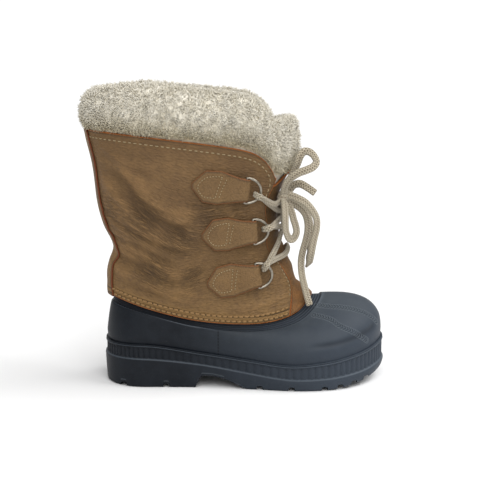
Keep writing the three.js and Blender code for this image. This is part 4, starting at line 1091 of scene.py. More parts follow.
# Each leather's name, then its light, dark, cut edge and lower edge as screen colours.
LEATHERS = {
    "leather": ("oiled_leather", (122, 94, 60), (94, 70, 44), (182, 104, 42), (128, 99, 60)),
    "backstay": ("backstay_leather", (128, 100, 64), (86, 64, 39), (104, 52, 26), (128, 99, 60)),
    "tab": ("tab_leather", (120, 94, 61), (100, 76, 48), (124, 74, 36), (126, 97, 60)),
    "tongue": ("tongue_leather", (112, 84, 50), (80, 59, 35), (146, 86, 40), (136, 90, 46)),
}
OTHER_FINISHES = {
    "collar_thread": lambda: thread_finish("cream_thread", (172, 152, 114)),
    "edge_thread": lambda: thread_finish("waxed_thread", (158, 122, 74)),
    "rubber": lambda: rubber_finish("shell_rubber"),
    "sole": lambda: rubber_finish("sole_rubber"),
    "wool": lambda: wool_finish("sheep_wool"),
    "lace": lace_finish,
    "nickel": nickel_finish,
    "felt": felt_finish,
}
FINISHES = {}


def finish_of(key):
    """Each finish is made once and shared."""
    if key not in FINISHES:
        FINISHES[key] = leather_finish(*LEATHERS[key]) if key in LEATHERS else OTHER_FINISHES[key]()
    return FINISHES[key]


def settle(piece, slot_name, *nodes):
    """The piece rides with the boot and stands for its nodes, which it hides. The slot's name is not used."""
    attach(piece, "root")
    if nodes:
        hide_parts(*nodes)
    return piece


def lace_tube(build, points, out, wide, deep, count):
    """A braided lace along given points: a flat oval section with a groove down its face."""
    path, _ = curve_through(points, count)
    share = np.linspace(0, 1, count)
    facing = along_path(share, np.linspace(0, 1, len(out)), np.asarray(out))
    run = directions(path)
    across = unit(np.cross(run, facing))
    lift = unit(np.cross(across, run))
    sides = LACE_SIDES
    angle = TAU * np.arange(sides) / sides
    groove = 1 - 0.22 * np.exp(-((np.abs(np.sin(angle)) - 1) / 0.12) ** 2)
    squash = np.abs(np.cos(angle)) ** 0.75 * np.sign(np.cos(angle))
    size = np.ones(count)
    size[[0, -1]] = LACE_END
    w, h = (wide / 2 * squash)[None, :, None], (deep / 2 * np.sin(angle) * groove)[None, :, None]
    rings = path[:, None] + (across[:, None] * w + lift[:, None] * h) * size[:, None, None]
    gone = run_of(path)
    turn = 1 - np.abs(2 * np.arange(sides) / sides - 1)
    start = build.count
    build.grid(rings, wrap=True, length=np.repeat(gone, sides), turn=np.tile(turn, count))
    build.add(path[[0, -1]], np.zeros((0, 3), int), length=np.array([0, gone[-1]]), turn=0.5)
    k, after = np.arange(sides), (np.arange(sides) + 1) % sides
    tip, last = np.full(sides, start + count * sides), start + (count - 1) * sides
    build.faces.extend(np.stack([tip, start + after, start + k], -1).tolist())
    build.faces.extend(np.stack([tip + 1, last + k, last + after], -1).tolist())
    return path


def cord_facings(points):
    """The way each loop's flat face looks: mostly to the outer side and forward, as the bow hangs."""
    path = np.asarray(points, float)
    run = unit(np.gradient(path, axis=0))
    out = np.array([0.55, -0.8, 0.2]) + 0 * run
    return unit(out - run * np.sum(out * run, -1, keepdims=True))


def make_laces():
    """The bow's loops and ends as free cords, its knot, and the strands between the rings."""
    lace = finish_of("lace")
    knot = Build()
    out = normal_of(shaft, KNOT_AROUND, KNOT_UP)
    wide = unit(np.array([-out[1], out[0], 0]))
    tall = np.cross(out, wide)
    centre = offset(shaft, KNOT_AROUND, KNOT_UP, KNOT_DEEP)
    for tilt, reach, deep, slide in KNOT_TURNS:
        t = np.linspace(0, TAU, 28)
        a = wide * math.cos(tilt) + tall * math.sin(tilt)
        b = -wide * math.sin(tilt) + tall * math.cos(tilt)
        ring = centre + b * slide + a * (reach * np.cos(t))[:, None] + out * (deep * np.sin(t))[:, None]
        ring = ring + b * (1.6 * np.sin(t / 2))[:, None]
        lace_tube(knot, ring, unit(ring - centre), 5.2, 2.6, 60)
    sides, stations = 24, 12
    angle, rise = np.meshgrid(TAU * np.arange(sides) / sides, np.linspace(-1.45, 1.45, stations))
    ball = (centre + wide * (5.4 * np.cos(rise) * np.cos(angle))[..., None]
            + tall * (5.4 * np.cos(rise) * np.sin(angle))[..., None] + out * (3.6 * np.sin(rise))[..., None])
    start = knot.count
    knot.grid(ball, wrap=True, length=angle * 3, turn=rise)
    top = start + (stations - 1) * sides
    knot.faces.extend([list(range(start, start + sides))[::-1], list(range(top, top + sides))])
    knot = settle(knot.object("lace_knot_turns", lace), "lace", "lace_knot")
    for name, points in CORDS.items():
        build = Build()
        path = lace_tube(build, points, cord_facings(points), CORD + 0.6, STRAND_THICKNESS, 9 * len(points))
        piece = settle(build.object(name + "_braid", lace), "lace", name)
    bars = Build()
    for low, high, rise in LACING:
        points, outs = strand_line(ring_turn(low, -1), ring_turn(high, 1), rise)
        lace_tube(bars, points, outs, STRAND_WIDTH, STRAND_THICKNESS * 0.85, 90)
    for side in (-1, 1):
        lace_tube(bars, *knot_strand(side), STRAND_WIDTH, STRAND_THICKNESS * 0.85, 60)
    settle(bars.object("lace_strands", lace), "lace", "lace_bars")
    turns = Build()
    for name in TABS:
        for side in (-1, 1):
            _, points, _ = ring_turn(name, side)
            a, b = np.array(points[0]), np.array(points[-1])
            out = unit(np.array(points[1]) - (a + b) / 2)
            across = unit(np.cross(b - a, out))
            middle = (a + b) / 2 + out * 0.5
            angle = np.linspace(0, TAU, 25)
            loop = (middle + unit(b - a) * (2.4 * np.cos(angle))[:, None]
                    + out * (1.9 * np.sin(angle))[:, None] + across * (1.7 * np.cos(angle / 2))[:, None])
            lace_tube(turns, loop, unit(loop - middle), 3.0, 1.6, 40)
    settle(turns.object("lace_turns", lace), "lace")


# The herringbone bands and the soft hollow on the vamp, as places around and rise, on the outer side.
BANDS = (
    ((0.398, 0.966), (0.394, 0.76), (0.389, 0.567), (0.4, 0.3), (0.417, 0.086)),
    ((0.435, 1.0), (0.432, 0.9), (0.435, 0.804), (0.443, 0.5), (0.455, 0.2265)),
)
HOLLOW = ((0.317, 0.367), (0.363, 0.281), (0.398, 0.2365), (0.423, 0.218), (0.4515, 0.216))


def hollow(around, rise):
    """Share of the soft hollow's depth at a place on the shell."""
    line = np.array(HOLLOW)
    mirrored = np.minimum(np.mod(around, 1), 1 - np.mod(around, 1))
    d, along = polyline_distance(np.stack([mirrored * 420, rise * 60], -1), line * (420, 60))
    return np.exp(-(d / 3.5) ** 2) * smooth(along, 0, 0.3) * smooth(1 - along, 0, 0.1)


def shell_face(around, rise):
    """The shell's outer face below the lip: the dome moved out by the lip's step, with the soft hollow."""
    return offset(dome, around, rise, LIP_STEP * np.minimum(rise * 4, 1) - HOLLOW_DEEP * hollow(around, rise))


def strip_marks(points):
    """Distance from the nearest herringbone band of either side, and the length along it."""
    best, length = np.full(points.shape[:-1], 30.0), np.zeros(points.shape[:-1])
    for band in BANDS:
        for mirror in (False, True):
            around, rise = np.array(band).T
            around = 1 - around if mirror else around
            line, reach = curve_through(offset(dome, around, rise, LIP_STEP), 30)
            near = np.linalg.norm(points - line.mean(0), axis=-1) < 40
            d, along = polyline_distance(points[near], line)
            closer = d < best[near]
            best[near] = np.where(closer, d, best[near])
            length[near] = np.where(closer, along * reach, length[near])
    return best, length


def make_shell():
    """The moulded foot: dome, recessed lip band and flange behind the leather, as one closed skin."""
    count = SHELL_COLUMNS
    around = np.arange(count) / count
    foot = outline(around, RIM + GAP)
    ledge = side_height(around, "ledge") - 1 + GAP
    top = side_height(around, "top")
    rows, marks = [], []

    def row(points, **numbers):
        rows.append(points)
        marks.append(numbers)

    row(np.concatenate([foot, ledge[:, None]], -1))
    row(np.concatenate([foot, (top - 0.5)[:, None]], -1))
    # The rise up the shell is kept for dust and painted sheen, which grow towards the lip.
    for rise in np.linspace(0.02, 1, 74) ** 1.15:
        level = np.full(count, rise)
        # The hollow's share is carried for painted shade in it.
        row(shell_face(around, level), line=1.0 if rise > 0.985 else 0.0, bloom=rise, face=1.0,
            sunk=hollow(around, level))
    low, high = dome(around, np.ones(count)), offset(shaft, around, np.zeros(count), -SEAT)
    edge = shell_face(around, np.ones(count))
    # The lip's edge rows, like the top face rows, are marked for a painted highlight line.
    row(edge * 0.7 + low * 0.3 + np.array([0, 0, 0.35]), line=1.0, bloom=1)
    row(edge * 0.3 + low * 0.7 + np.array([0, 0, 0.3]), line=0.5, bloom=1)
    for q in np.linspace(0.02, 1, 22):
        row(low * (1 - q) + high * q, lip=1.0, groove=q * 5, bloom=0.3)
    row(offset(shaft, around, np.full(count, FLANGE_UP), -SEAT))
    row(offset(shaft, around, np.full(count, FLANGE_UP), -SEAT - 2))
    row(offset(shaft, around, np.zeros(count), -SHELL_WALL))
    for rise in (1, 0.85, 0.7, 0.5, 0.34, 0.15):
        row(offset(dome, around, np.full(count, rise), -SHELL_WALL))
    inner = outline(around, RIM + GAP + SHELL_WALL)
    row(np.concatenate([inner, top[:, None]], -1))
    row(np.concatenate([inner, ledge[:, None]], -1))
    points = np.array(rows)
    values = {key: np.array([m.get(key, 0) * np.ones(count) for m in marks]).ravel()
              for key in ("line", "lip", "groove", "bloom", "sunk")}
    strip, along = strip_marks(points)
    face = np.repeat([float(m.get("face", 0)) for m in marks], count)
    build = Build()
    build.add(points, grid_faces(len(points), count, True, True), strip=strip.ravel(), along=along.ravel(),
              banded=face, seam=face, **values)
    settle(build.object("shell_skin", finish_of("rubber"), sharp=50), "shell_rubber", "rubber_shell")


def make_sole():
    """The cup sole: upright ribs between a ledge and a bead, a cut-away arch and grooves between the lugs."""
    count = RIBS * 8
    around = np.arange(count) / count
    tread, ledge, top = (side_height(around, n) for n in ("tread", "ledge", "top"))
    rib = 0.5 - 0.5 * np.cos(TAU * around * RIBS)
    rib = LEDGE_DEPTH + RIB_DEPTH * (1 - rib ** 0.6)
    rows, lines = [], []

    # Rows along the ledge and the bead carry a mark for a painted highlight line.
    def row(inset, height, line=0.0):
        lines.append(line)
        flat = outline(around, np.broadcast_to(inset, around.shape))
        rows.append(np.concatenate([flat, np.broadcast_to(height, around.shape)[:, None]], -1))

    row(3.4, tread)
    for angle in (20, 45, 70):
        q = math.radians(angle)
        row(1 + 2.2 * (1 - math.sin(q)), tread + 2.5 * (1 - math.cos(q)))
    row(1, tread + 2.6)
    row(0.5, tread + (ledge - 1 - tread) * 0.5)
    row(0, ledge - 1.6)
    row(0.1, ledge - 0.9, 0.3)
    row(0.5, ledge - 0.35, 1)
    row(LEDGE_DEPTH, ledge, 0.6)
    row(rib, ledge + 0.7)
    row(rib, ledge + 1.2)
    row(rib, top - BEAD_HEIGHT - 1.3)
    row(rib, top - BEAD_HEIGHT - 0.8)
    for angle in np.linspace(0, 180, 9):
        q = math.radians(angle)
        row(1.4 - 0.75 * math.sin(q) ** 0.7, top - 1.9 - 0.75 * math.cos(q), 0.6 * (90 < angle < 170))
    row(1.25, top - 0.9)
    for angle in np.linspace(0, 180, 7):
        q = math.radians(angle)
        row(1.3 - 0.5 * math.sin(q) + 0.5 * (angle == 180), top - 0.45 - 0.42 * math.cos(q))
    row(RIM, top)
    row(RIM, ledge - 1)
    build = Build()
    build.grid(np.array(rows), wrap=True, line=np.repeat(np.array(lines, float), count), strip=9.0)
    last = (len(rows) - 1) * count
    i = np.arange(1, count // 2 - 1)
    for start, flip in ((0, False), (last, True)):
        quads = np.stack([start + i, start + i + 1, start + count - i - 1, start + count - i], -1)
        build.faces.extend((quads[:, ::-1] if flip else quads).tolist())
        tip = start + count // 2
        ends = [[start, start + 1, start + count - 1], [tip - 1, tip, tip + 1]]
        build.faces.extend([e[::-1] if flip else e for e in ends])
    sole = build.object("cup_sole", finish_of("sole"), sharp=38)
    cuts = Build()
    rise, _ = curve_through(ARCH_FRONT, 12)
    full = (-BALL_WIDTH, BALL_WIDTH)
    prism(cuts, [*ARCH_BACK, *rise[1:, :2].tolist(), (ARCH_FRONT[-1][0], -CUT_DEEP)], full)
    half = [(-2.5, -CUT_DEEP), (-2.5, -1), (-1.9, -0.25), (-1, 0)]
    groove = np.array(half + [(-x, z) for x, z in half[::-1]])
    for along in (*HEEL_GROOVES, *FRONT_GROOVES):
        place = (SOLE_LENGTH * along - HEEL_BACK, float(track(SIDE, "along", along, "tread")) + GROOVE_HIGH)
        for span in ((22, BALL_WIDTH), (-BALL_WIDTH, -22)) if along in HEEL_GROOVES else (full,):
            prism(cuts, groove + place, span)
    cutter = cuts.object("sole_cuts", finish_of("sole"))
    change = sole.modifiers.new("lugs", "BOOLEAN")
    change.operation, change.object, change.solver = "DIFFERENCE", cutter, "EXACT"
    bpy.context.view_layer.objects.active = sole
    bpy.ops.object.modifier_apply(modifier="lugs")
    bpy.data.objects.remove(cutter)
    sole.data.set_sharp_from_angle(angle=math.radians(38))
    settle(sole, "tread_rubber", "outsole")


def prism(build, outline_xz, span):
    """A shape in X and Z carried from one Y to another."""
    shape = np.array(outline_xz, float)
    n = len(shape)
    ends = [np.stack([shape[:, 0], np.full(n, y), shape[:, 1]], -1) for y in span]
    start = build.count
    build.grid(np.array(ends), wrap=True)
    build.faces.extend([list(range(start, start + n))[::-1], list(range(start + n, start + 2 * n))])


def upper_place(across, up):
    """Place on the shaft of shares across and up the leather, from one front edge round to the other."""
    return facing_around(up) * (1 - 2 * across), up


def leather_height(around):
    """Height of the leather from its lower edge to its collar, in millimetres."""
    lead = lead_at(around)
    return track(COLLAR, "along", lead, "height") - track(EDGE, "along", lead, "height")


def stitch_row(build, across, up, pitch, thread, cover=0.72, sink=0.25):
    """Stitches along a line of places on the leather."""
    around, up = upper_place(across, up)
    stitches(build, leather_face(around, up), normal_of(shaft, around, up), pitch, thread, cover, sink)


def leather_marks(around, up):
    """The wrinkles' numbers, and how far the leather is pushed in or out there, for painted shade in its
    creases and painted highlights on its ridges.
    """
    moved = relief(around, up)
    return {**wrinkle_place(around, up), "grained": np.ones_like(moved),
            "dip": np.clip(-moved / 1.7, 0, 1), "ridge": np.clip(moved / 2.2, 0, 1)}


# The collar's row of stitches where it turns down a front edge, as shares across and up the leather.
STITCHED_CORNER = ((0.009, 0.8, 0), (0.009, 0.88, 0), (0.012, 0.93, 0), (0.023, 0.955, 0), (0.05, 0.961, 0))


def make_upper(depth, pitch):
    """The leather shaft: one wall open down the front, with its creases, raw edges and rows of stitches."""
    build = Build()
    wall_piece(build, lambda u, v: leather_face(*upper_place(u, v), depth=depth),
               lambda u, v: offset(shaft, *upper_place(u, v), GAP), 330, 170, (40, 16),
               marks=lambda u, v: leather_marks(*upper_place(u, v)), banded=1.0)
    settle(build.object("leather_shaft", finish_of("leather")), "leather", "leather_upper")
    rows = Build()
    turn, _ = curve_through(STITCHED_CORNER, 60)
    across = np.concatenate([turn[:, 0], np.linspace(0.052, 0.948, 700), 1 - turn[::-1, 0]])
    up = np.concatenate([turn[:, 1], np.full(700, STITCHED_CORNER[-1][1]), turn[::-1, 1]])
    stitch_row(rows, across, up, pitch, 0.5, 0.6)
    for near in (0.01, 0.99):
        stitch_row(rows, np.full(60, near), np.linspace(0.1, 0.36, 60), pitch * 0.8, 0.45, 0.6)
    settle(rows.object("collar_stitches", finish_of("collar_thread")), "leather")
    rows = Build()
    across = np.linspace(0.008, 0.992, 900)
    for above in (2.3, 6.4):
        around, _ = upper_place(across, np.full(900, 0.03))
        stitch_row(rows, across, above / leather_height(around), pitch, 0.95, 0.84, 0.4)
    settle(rows.object("edge_stitches", finish_of("edge_thread")), "leather")


def make_backstay():
    """The strip up the heel: each of its edges is the same reach from the middle all the way up."""
    build = Build()

    def place(across, up):
        row = section_at(up)
        back = (1 - np.minimum(BACKSTAY_REACH / row["half"], 1) ** row["tail"]) ** (1 / row["tail"])
        return around_at(row["widest"] * (1 - back)) * (1 - 2 * across), up

    wall_piece(build, lambda u, v: leather_face(*place(u, v), GAP + BACKSTAY_THICKNESS),
               lambda u, v: leather_face(*place(u, v), GAP), 34, 150, (12, 60), banded=1.0)
    settle(build.object("heel_strip", finish_of("backstay")), "leather", "backstay")


def make_lining():
    """Fleece inside the leather, from the foot of the shaft up to the cuff's own lining."""
    count, steps = 200, 38
    around = np.arange(count)[None] / count + np.zeros((steps, 1))
    up = np.linspace(0.03, CUFF_DOWN - 0.02, steps)[:, None] + np.zeros((1, count))
    outer = offset(shaft, around, up, -TONGUE_THICKNESS - 3 * SEAT)
    inner = offset(shaft, around, up, -TONGUE_THICKNESS - 3 * SEAT - LINING_THICKNESS)
    curl = 0.6 - clumps(inner, 6, 41) - 0.5 * clumps(inner, 2.6, 47)
    inner = inner - normal_of(shaft, around, up) * (1.2 * curl)[..., None]
    build = Build()
    build.add(np.concatenate([outer, inner[::-1]]), grid_faces(2 * steps, count, True, True),
              # The lining's hollows are marked for painted shade.
              deep=np.concatenate([np.zeros(outer.shape[:2]), np.clip(0.4 - curl, 0, 1)[::-1]]).ravel())
    settle(build.object("shaft_fleece", finish_of("wool")), "shearling")


def tongue_levels(up):
    """How far out the tongue's face is, and its thickness: it goes behind the leather above the tuck."""
    tuck = ramp(up, *TUCK)
    return SEAT + LEATHER - (2 * SEAT + LEATHER) * tuck, LEATHER + (TONGUE_THICKNESS - LEATHER) * tuck


def tongue_face(across, share):
    """The tongue's outer face, with soft waves where it is free."""
    around, up = tongue_place(across, share)
    waves = 0.5 * np.sin(up * 34) * smooth(up, 0.2, 0.3) * smooth(1.02 - up, 0, 0.2)
    return offset(shaft, around, up, tongue_levels(up)[0] + np.minimum(waves, 0.25))


def tongue_back(across, share):
    """The tongue's inner face."""
    around, up = tongue_place(across, share)
    face, thickness = tongue_levels(up)
    return offset(shaft, around, up, face - thickness)


def make_tongue():
    """The leather tongue."""
    build = Build()
    wall_piece(build, tongue_face, tongue_back, 90, 150, (12, 24))
    settle(build.object("tongue_leather_wall", finish_of("tongue")), "leather", "tongue")


# Rows of stitches on a tab, as shares of its length from the tip and millimetres across it.
TAB_ROWS = (
    ((0.57, 8.7), (0.47, 9.3), (0.27, 7.6), (0.14, 2.2), (0.13, -2.5), (0.24, -8.2), (0.46, -8.6)),
    ((0.46, -8.6), (0.5, 0), (0.55, 8.7)),
    ((0.53, -8.4), (0.58, 0), (0.64, 8.2)),
)


def tab_profile(fold):
    """A tab's middle line from its tip, round the bar and back, as distances along and off the leather."""
    flat, step = TAB_LIFT + TAB_LEATHER / 2, TAB_LEATHER + GAP
    ends = -TAB_RETURN - 0.5
    d = [*np.linspace(-fold.length, ends - 3, TAB_STEPS), ends, -TAB_RETURN * 0.75, -TAB_RETURN / 2]
    over = BAR_HEIGHT + FOLD_RADIUS - flat - step
    h = [flat] * TAB_STEPS + [flat + step, flat + step + 0.7, flat + step + 0.6 * over]
    for angle in np.radians(np.linspace(90, -90, 13)):
        d.append(FOLD_RADIUS * math.cos(angle))
        h.append(BAR_HEIGHT + FOLD_RADIUS * math.sin(angle))
    return np.array([*d, -TAB_RETURN * 0.5, -TAB_RETURN + 1.5]), np.array([*h, flat, flat])


def make_tab(fold, name):
    """One tab's leather: a section with rounded edges carried along its middle line."""
    d, h = tab_profile(fold)
    share = np.clip(1 + d / fold.length, 0, 1)
    share[TAB_STEPS + 3:] = 1
    half = np.interp(share, TAB_SHAPE["along"], TAB_SHAPE["half"])
    run = unit(np.stack([np.gradient(d), np.gradient(h)], -1))
    q = np.linspace(-1, 1, TAB_COLUMNS)
    section = [(s, 1.0) for s in q] + [(1.0, 0.3), (1.0, -0.3)]
    section += [(-s, -f) for s, f in section]
    rings, edge, rim = [], [], []
    for s, f in section:
        raw = abs(f) < 0.5
        lateral = s * (half + (0.35 if raw else 0))
        thick = f * TAB_LEATHER / 2 * (0.8 if abs(s) == 1 and not raw else 1)
        rings.append(fold.point(d - run[:, 1] * thick, lateral, h + run[:, 0] * thick))
        edge.append(np.minimum(half - np.abs(lateral), d + fold.length))
        rim.append(np.full(len(d), float(raw)))
    build = Build()
    build.grid(np.stack(rings, 1), wrap=True, edge=np.stack(edge, 1).ravel(), rim=np.stack(rim, 1).ravel())
    n, turn = len(section), TAB_COLUMNS + 2
    for start, flip in ((0, True), ((len(d) - 1) * n, False)):
        ring = start + np.arange(n)
        top, bottom = ring[:TAB_COLUMNS], ring[turn:turn + TAB_COLUMNS][::-1]
        caps = np.stack([top[:-1], top[1:], bottom[1:], bottom[:-1]], -1).tolist()
        caps += [ring[turn - 3:turn + 1].tolist(), [*ring[n - 3:].tolist(), start]]
        build.faces.extend([c[::-1] if flip else c for c in caps])
    settle(build.object("tab_" + name, finish_of("tab")), "tab_leather", "lace_tab_" + name)


def make_tab_stitches(fold, name):
    """The rows of stitches that hold one tab."""
    build = Build()
    step, ends = TAB_LEATHER + GAP, -TAB_RETURN - 0.5
    for line in TAB_ROWS:
        path, _ = curve_through([((share - 1) * fold.length, across, 0) for share, across in line], 160)
        lift = TAB_LIFT + TAB_LEATHER + step * smooth(path[:, 0], ends - 3, ends + 2)
        at = fold.point(path[:, 0], path[:, 1], lift)
        stitches(build, at, np.broadcast_to(fold.out, at.shape), 2.3, 0.44, 0.55, 0.1)
    settle(build.object("tab_stitches_" + name, finish_of("collar_thread")), "tab_leather")


def make_ring(fold, name):
    """One D-ring: a round wire with a straight bar and a bow, lifted towards the throat."""
    angle = np.linspace(math.pi / 2, -math.pi / 2, 33)
    d = np.concatenate([np.zeros(5), RING_REACH * np.cos(angle)])
    q = np.concatenate([np.linspace(-0.75, 0.75, 5) * RING_HALF, RING_HALF * np.sin(angle)])
    path = fold.straight(d, q, BAR_HEIGHT + RING_LIFT * d / RING_REACH)
    centre = fold.straight(RING_REACH * 0.35, 0, BAR_HEIGHT)
    run = unit(np.roll(path, -1, 0) - np.roll(path, 1, 0))
    away = unit(np.cross(run, np.broadcast_to(fold.out, run.shape)))
    away = away * np.sign(np.sum(away * (path - centre), -1, keepdims=True))
    lift = np.cross(run, away)
    t = (TAU * np.arange(WIRE_SIDES) / WIRE_SIDES)[None, :, None]
    rings = path[:, None] + WIRE / 2 * (away[:, None] * np.cos(t) + lift[:, None] * np.sin(t))
    build = Build()
    build.add(rings, grid_faces(len(rings), WIRE_SIDES, True, True))
    settle(build.object("ring_" + name, finish_of("nickel")), "nickel", "d_ring_" + name)


def on_both_sides(*makers):
    """Runs the makers at every tab's fold, with its side and height as the piece's name."""
    for height in TABS:
        for side, word in ((-1, "outer"), (1, "inner")):
            for make in makers:
                make(Fold(height, side), f"{word}_{height}")


def wool_lumps(points, seed):
    """Height of the pile in millimetres: soft clumps of three sizes, their places pushed about a little."""
    push = np.stack([noise(points, 9, seed + 7 * k) for k in range(3)], -1)
    spot = points + 2.2 * push
    big, middle, small = (clumps(spot, size, seed + k) for k, size in enumerate((15, 7, 3.4)))
    soft = 0.5 * noise(points, 30, seed)
    return 2.4 * (0.5 - big ** 2) + 1.7 * (0.4 - middle ** 2) + 0.9 * (0.4 - small) + soft


# Steps over the roll, down its lining and up its back, and the loose tufts' radius at the root.
ROLL_STEPS = (84, 24, 6)
TUFT_RADIUS = 0.42


def wool_roll(names, node, arounds, tops, downs, depth, counts, length, seed):
    """A roll of fleece as one closed skin with a lining inside, and loose tufts over and inside it."""
    n, over, inside, behind = len(arounds), *ROLL_STEPS
    places = np.repeat(arounds[:, None], over, 1)
    starts = np.repeat(tops[:, None], over, 1)
    at = np.repeat(np.linspace(0, 1, over)[None], n, 0)
    top, down = tops[:, None], downs[:, None]
    roll = fur_point(places, starts, at)
    lining = -depth - PILE_LINING
    q = np.linspace(0, 1, inside)[None, :-1]
    inner = offset(shaft, places[:, :inside - 1], top + (down - top) * q, lining)
    foot = offset(shaft, places[:, :2], down + np.zeros((1, 2)), np.array([[lining, -depth]]))
    back = offset(shaft, places[:, :behind], down + (top - down) * np.linspace(0.1, 0.97, behind), -depth)
    section = np.concatenate([roll, inner, foot, back], 1)
    m = section.shape[1]
    normal = unit(np.cross(np.gradient(section, axis=0), np.roll(section, -1, 1) - np.roll(section, 1, 1)))
    centre = section.mean(1, keepdims=True)
    normal = normal * np.sign(np.sum(normal * (section - centre)))
    woolly = np.zeros(m)
    woolly[3:over + inside - 2] = 1
    woolly[1:3] = 0.5
    ends = np.minimum(np.arange(n), np.arange(n)[::-1])
    lump = wool_lumps(section, seed) * woolly[None] * ramp(ends, 0, 3)[:, None]
    points = section + normal * lump[..., None]
    low = np.zeros(m)
    low[:over] = 1 - ramp(np.linspace(0, 1, over), 0.02, 0.3)
    build = Build()
    # Hollows between the clumps are marked for painted shade.
    build.add(points, grid_faces(n, m, True), deep=np.clip(0.35 - lump / 4, 0, 1).ravel(),
              foot=np.tile(low, n))
    for start in (0, (n - 1) * m):
        half = np.arange(1, m // 2)
        caps = np.stack([start + half - 1, start + half, start + m - 1 - half, start + m - half], -1)
        build.faces.extend(caps.tolist())
    settle(build.object(names[0], finish_of("wool")), "shearling", node)
    chance = np.random.default_rng(seed)
    spans = ((1, over * 0.62), (over * 0.6, over + inside - 4))
    for name, count, (first, last) in zip(names[1:], counts, spans):
        i = chance.uniform(0, n - 1.001, count)
        j = chance.uniform(first, last, count)
        a, b = i.astype(int), j.astype(int)
        u, v = (i - a)[:, None], (j - b)[:, None]
        spots = ((points[a, b] * (1 - u) + points[a + 1, b] * u) * (1 - v)
                 + (points[a, b + 1] * (1 - u) + points[a + 1, b + 1] * u) * v)
        tufts = Build()
        wisps(tufts, spots, normal[a, b], low[b], length, TUFT_RADIUS, seed + 5)
        settle(tufts.object(name, finish_of("wool")), "shearling")


def make_wool(length):
    """Shearling round the collar and up the tongue."""
    end = float(facing_around(0.97)) - 0.012
    arounds = np.linspace(end, -end, 420)
    reach = track(FACING, "up", CUFF_DOWN, "reach") - TONGUE_OVERLAP
    edge = float(around_of(section_at(CUFF_DOWN), reach)) - 0.035
    downs = np.where(np.abs(arounds) > edge, 0.97, CUFF_DOWN)
    wool_roll(("collar_fleece", "collar_tufts_outer", "collar_tufts_inner"), "shearling_cuff", arounds,
              np.ones(420), downs, SEAT, (15000, 10500), length, 11)
    start = float(facing_around(0.97)) - 0.004
    across = np.linspace(0, 1, 110)
    arounds = start + (1 - 2 * start) * across
    tops = 1 + (TONGUE_TOP - 1) * (1 - np.cos((1 - np.abs(2 * across - 1)) * math.pi / 2)) + 0.01
    wool_roll(("tongue_fleece", "tongue_tufts_outer", "tongue_tufts_inner"), "tongue_shearling", arounds,
              tops, np.full(110, 0.78), TONGUE_THICKNESS + 3 * SEAT, (5200, 2400), length, 23)


def make_insole():
    """The felt footbed."""
    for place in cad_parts["insole"].material_slots:
        place.material = finish_of("felt")


CAMERA_DOWN = 10.37
# Each sun's name, the way it shines, its share of the light and how wide it looks in degrees.
SUNS = (("side_sun", (-0.75, 0.0, -1.0), 0.5, 40), ("front_sun", (-0.15, 0.85, -0.9), 0.5, 50))


def make_stage(strength):
    """A white studio: a small floor in a white world, two soft suns and a dimmer sky above."""
    floor = Build()
    floor.add([(-900, -900, 0), (900, -900, 0), (900, 900, 0), (-900, 900, 0)], [[0, 1, 2, 3]])
    f = Finish("pale_floor")
    floor.object("floor", f.done(rgb(238, 238, 238), 0.9), outward=False)
    world = bpy.data.worlds.new("soft_white")
    world.use_nodes = True
    tree = world.node_tree
    place = tree.nodes.new("ShaderNodeTexCoord")
    split = tree.nodes.new("ShaderNodeSeparateXYZ")
    blend = tree.nodes.new("ShaderNodeMapRange")
    blend.inputs["From Min"].default_value, blend.inputs["From Max"].default_value = 0.1, 0.35
    blend.inputs["To Min"].default_value, blend.inputs["To Max"].default_value = 1.1, 0.42
    tree.links.new(place.outputs["Generated"], split.inputs[0])
    tree.links.new(split.outputs["Z"], blend.inputs["Value"])
    tree.links.new(blend.outputs["Result"], tree.nodes["Background"].inputs["Strength"])
    tree.nodes["Background"].inputs["Color"].default_value = (1, 1, 1, 1)
    bpy.context.scene.world = world
    for name, aim, share, spread in SUNS:
        sun = bpy.data.lights.new(name, "SUN")
        sun.energy, sun.angle = strength * share, math.radians(spread)
        lamp = bpy.data.objects.new(name, sun)
        lamp.location = tuple(-v for v in aim)
        x, y, z = aim
        lamp.rotation_euler = (math.atan2(math.hypot(x, y), -z), 0, math.atan2(-x, y))
        bpy.context.scene.collection.objects.link(lamp)
    bpy.context.scene.view_settings.view_transform = "Standard"


def make_camera():
    """The photo's view: square to the outer side and a little down."""
    lens = bpy.data.cameras.new("camera")
    lens.lens, lens.sensor_width = 80.6, 36
    camera = bpy.data.objects.new("camera", lens)
    camera.location = (0.0797, -0.8977, 0.2835)
    camera.rotation_euler = (math.radians(90 - CAMERA_DOWN), 0, 0)
    bpy.context.scene.collection.objects.link(camera)
    bpy.context.scene.camera = camera


class BootSettings(bpy.types.PropertyGroup):
    """Sizes that can be changed before the boot is dressed again."""

    crease_depth: bpy.props.FloatProperty(
        name="Crease depth", description="Depth of the leather's creases as a share of the real ones",
        default=1.0, min=0.0, max=1.5, subtype="FACTOR")
    stitch_pitch: bpy.props.FloatProperty(
        name="Stitch pitch", description="Length of thread and gap along the collar's row of stitches",
        default=0.0045, min=0.002, max=0.012, unit="LENGTH", subtype="DISTANCE")
    tuft_length: bpy.props.FloatProperty(
        name="Tuft length", description="Length of the loose tufts of the shearling",
        default=0.0042, min=0.001, max=0.01, unit="LENGTH", subtype="DISTANCE")
    light: bpy.props.FloatProperty(
        name="Light", description="Strength of the soft sun", default=3.8, min=0.0, max=10.0)


class BOOT_OT_laces(bpy.types.Operator):
    """Make the bow, its knot and the strands between the rings"""

    bl_idname = "boot.laces"
    bl_label = "Laces"

    def execute(self, context):
        make_laces()
        return {"FINISHED"}


class BOOT_OT_foot(bpy.types.Operator):
    """Make the rubber shell, the cup sole and the footbed"""

    bl_idname = "boot.foot"
    bl_label = "Rubber foot"

    def execute(self, context):
        make_shell()
        make_sole()
        make_insole()
        return {"FINISHED"}


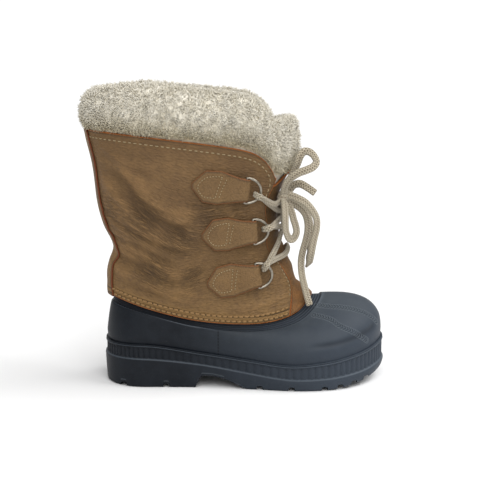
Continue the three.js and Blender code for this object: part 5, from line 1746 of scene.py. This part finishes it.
class BOOT_OT_shaft(bpy.types.Operator):
    """Make the leather shaft, its stitches, the heel strip and the lining"""

    bl_idname = "boot.shaft"
    bl_label = "Leather shaft"

    def execute(self, context):
        settings = context.scene.boot
        make_upper(settings.crease_depth, settings.stitch_pitch / MM)
        make_backstay()
        make_lining()
        return {"FINISHED"}


class BOOT_OT_tongue(bpy.types.Operator):
    """Make the leather tongue"""

    bl_idname = "boot.tongue"
    bl_label = "Tongue"

    def execute(self, context):
        make_tongue()
        return {"FINISHED"}


class BOOT_OT_tabs(bpy.types.Operator):
    """Make the lace tabs with their stitches, and the rings they hold"""

    bl_idname = "boot.tabs"
    bl_label = "Tabs and rings"

    def execute(self, context):
        on_both_sides(make_tab, make_tab_stitches)
        on_both_sides(make_ring)
        return {"FINISHED"}


class BOOT_OT_wool(bpy.types.Operator):
    """Make the shearling round the collar and up the tongue"""

    bl_idname = "boot.wool"
    bl_label = "Shearling"

    def execute(self, context):
        make_wool(context.scene.boot.tuft_length / MM)
        return {"FINISHED"}


class BOOT_OT_stage(bpy.types.Operator):
    """Make the floor, the light and the white world"""

    bl_idname = "boot.stage"
    bl_label = "Stage"

    def execute(self, context):
        make_stage(context.scene.boot.light)
        return {"FINISHED"}


class BOOT_OT_camera(bpy.types.Operator):
    """Place the camera"""

    bl_idname = "boot.camera"
    bl_label = "Camera"

    def execute(self, context):
        make_camera()
        return {"FINISHED"}


class BOOT_PT_panel(bpy.types.Panel):
    """The sizes and one button for each group of pieces"""

    bl_label = "Snow Boot"
    bl_idname = "BOOT_PT_panel"
    bl_space_type = "VIEW_3D"
    bl_region_type = "UI"
    bl_category = "Boot"

    def draw(self, context):
        for name in ("crease_depth", "stitch_pitch", "tuft_length", "light"):
            self.layout.prop(context.scene.boot, name)
        for operator in OPERATORS:
            self.layout.operator(operator.bl_idname)


OPERATORS = (BOOT_OT_camera, BOOT_OT_laces, BOOT_OT_stage, BOOT_OT_foot, BOOT_OT_shaft, BOOT_OT_tongue,
             BOOT_OT_tabs, BOOT_OT_wool)


def register():
    for part in (BootSettings, *OPERATORS, BOOT_PT_panel):
        bpy.utils.register_class(part)
    bpy.types.Scene.boot = bpy.props.PointerProperty(type=BootSettings)


def unregister():
    del bpy.types.Scene.boot
    for part in (BOOT_PT_panel, *reversed(OPERATORS), BootSettings):
        bpy.utils.unregister_class(part)


def main():
    """Registers the add-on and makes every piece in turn."""
    register()
    bpy.ops.boot.camera()
    bpy.ops.boot.laces()
    bpy.ops.boot.stage()
    bpy.ops.boot.foot()
    bpy.ops.boot.shaft()
    bpy.ops.boot.tongue()
    bpy.ops.boot.tabs()
    bpy.ops.boot.wool()


if __name__ == "__main__":
    main()
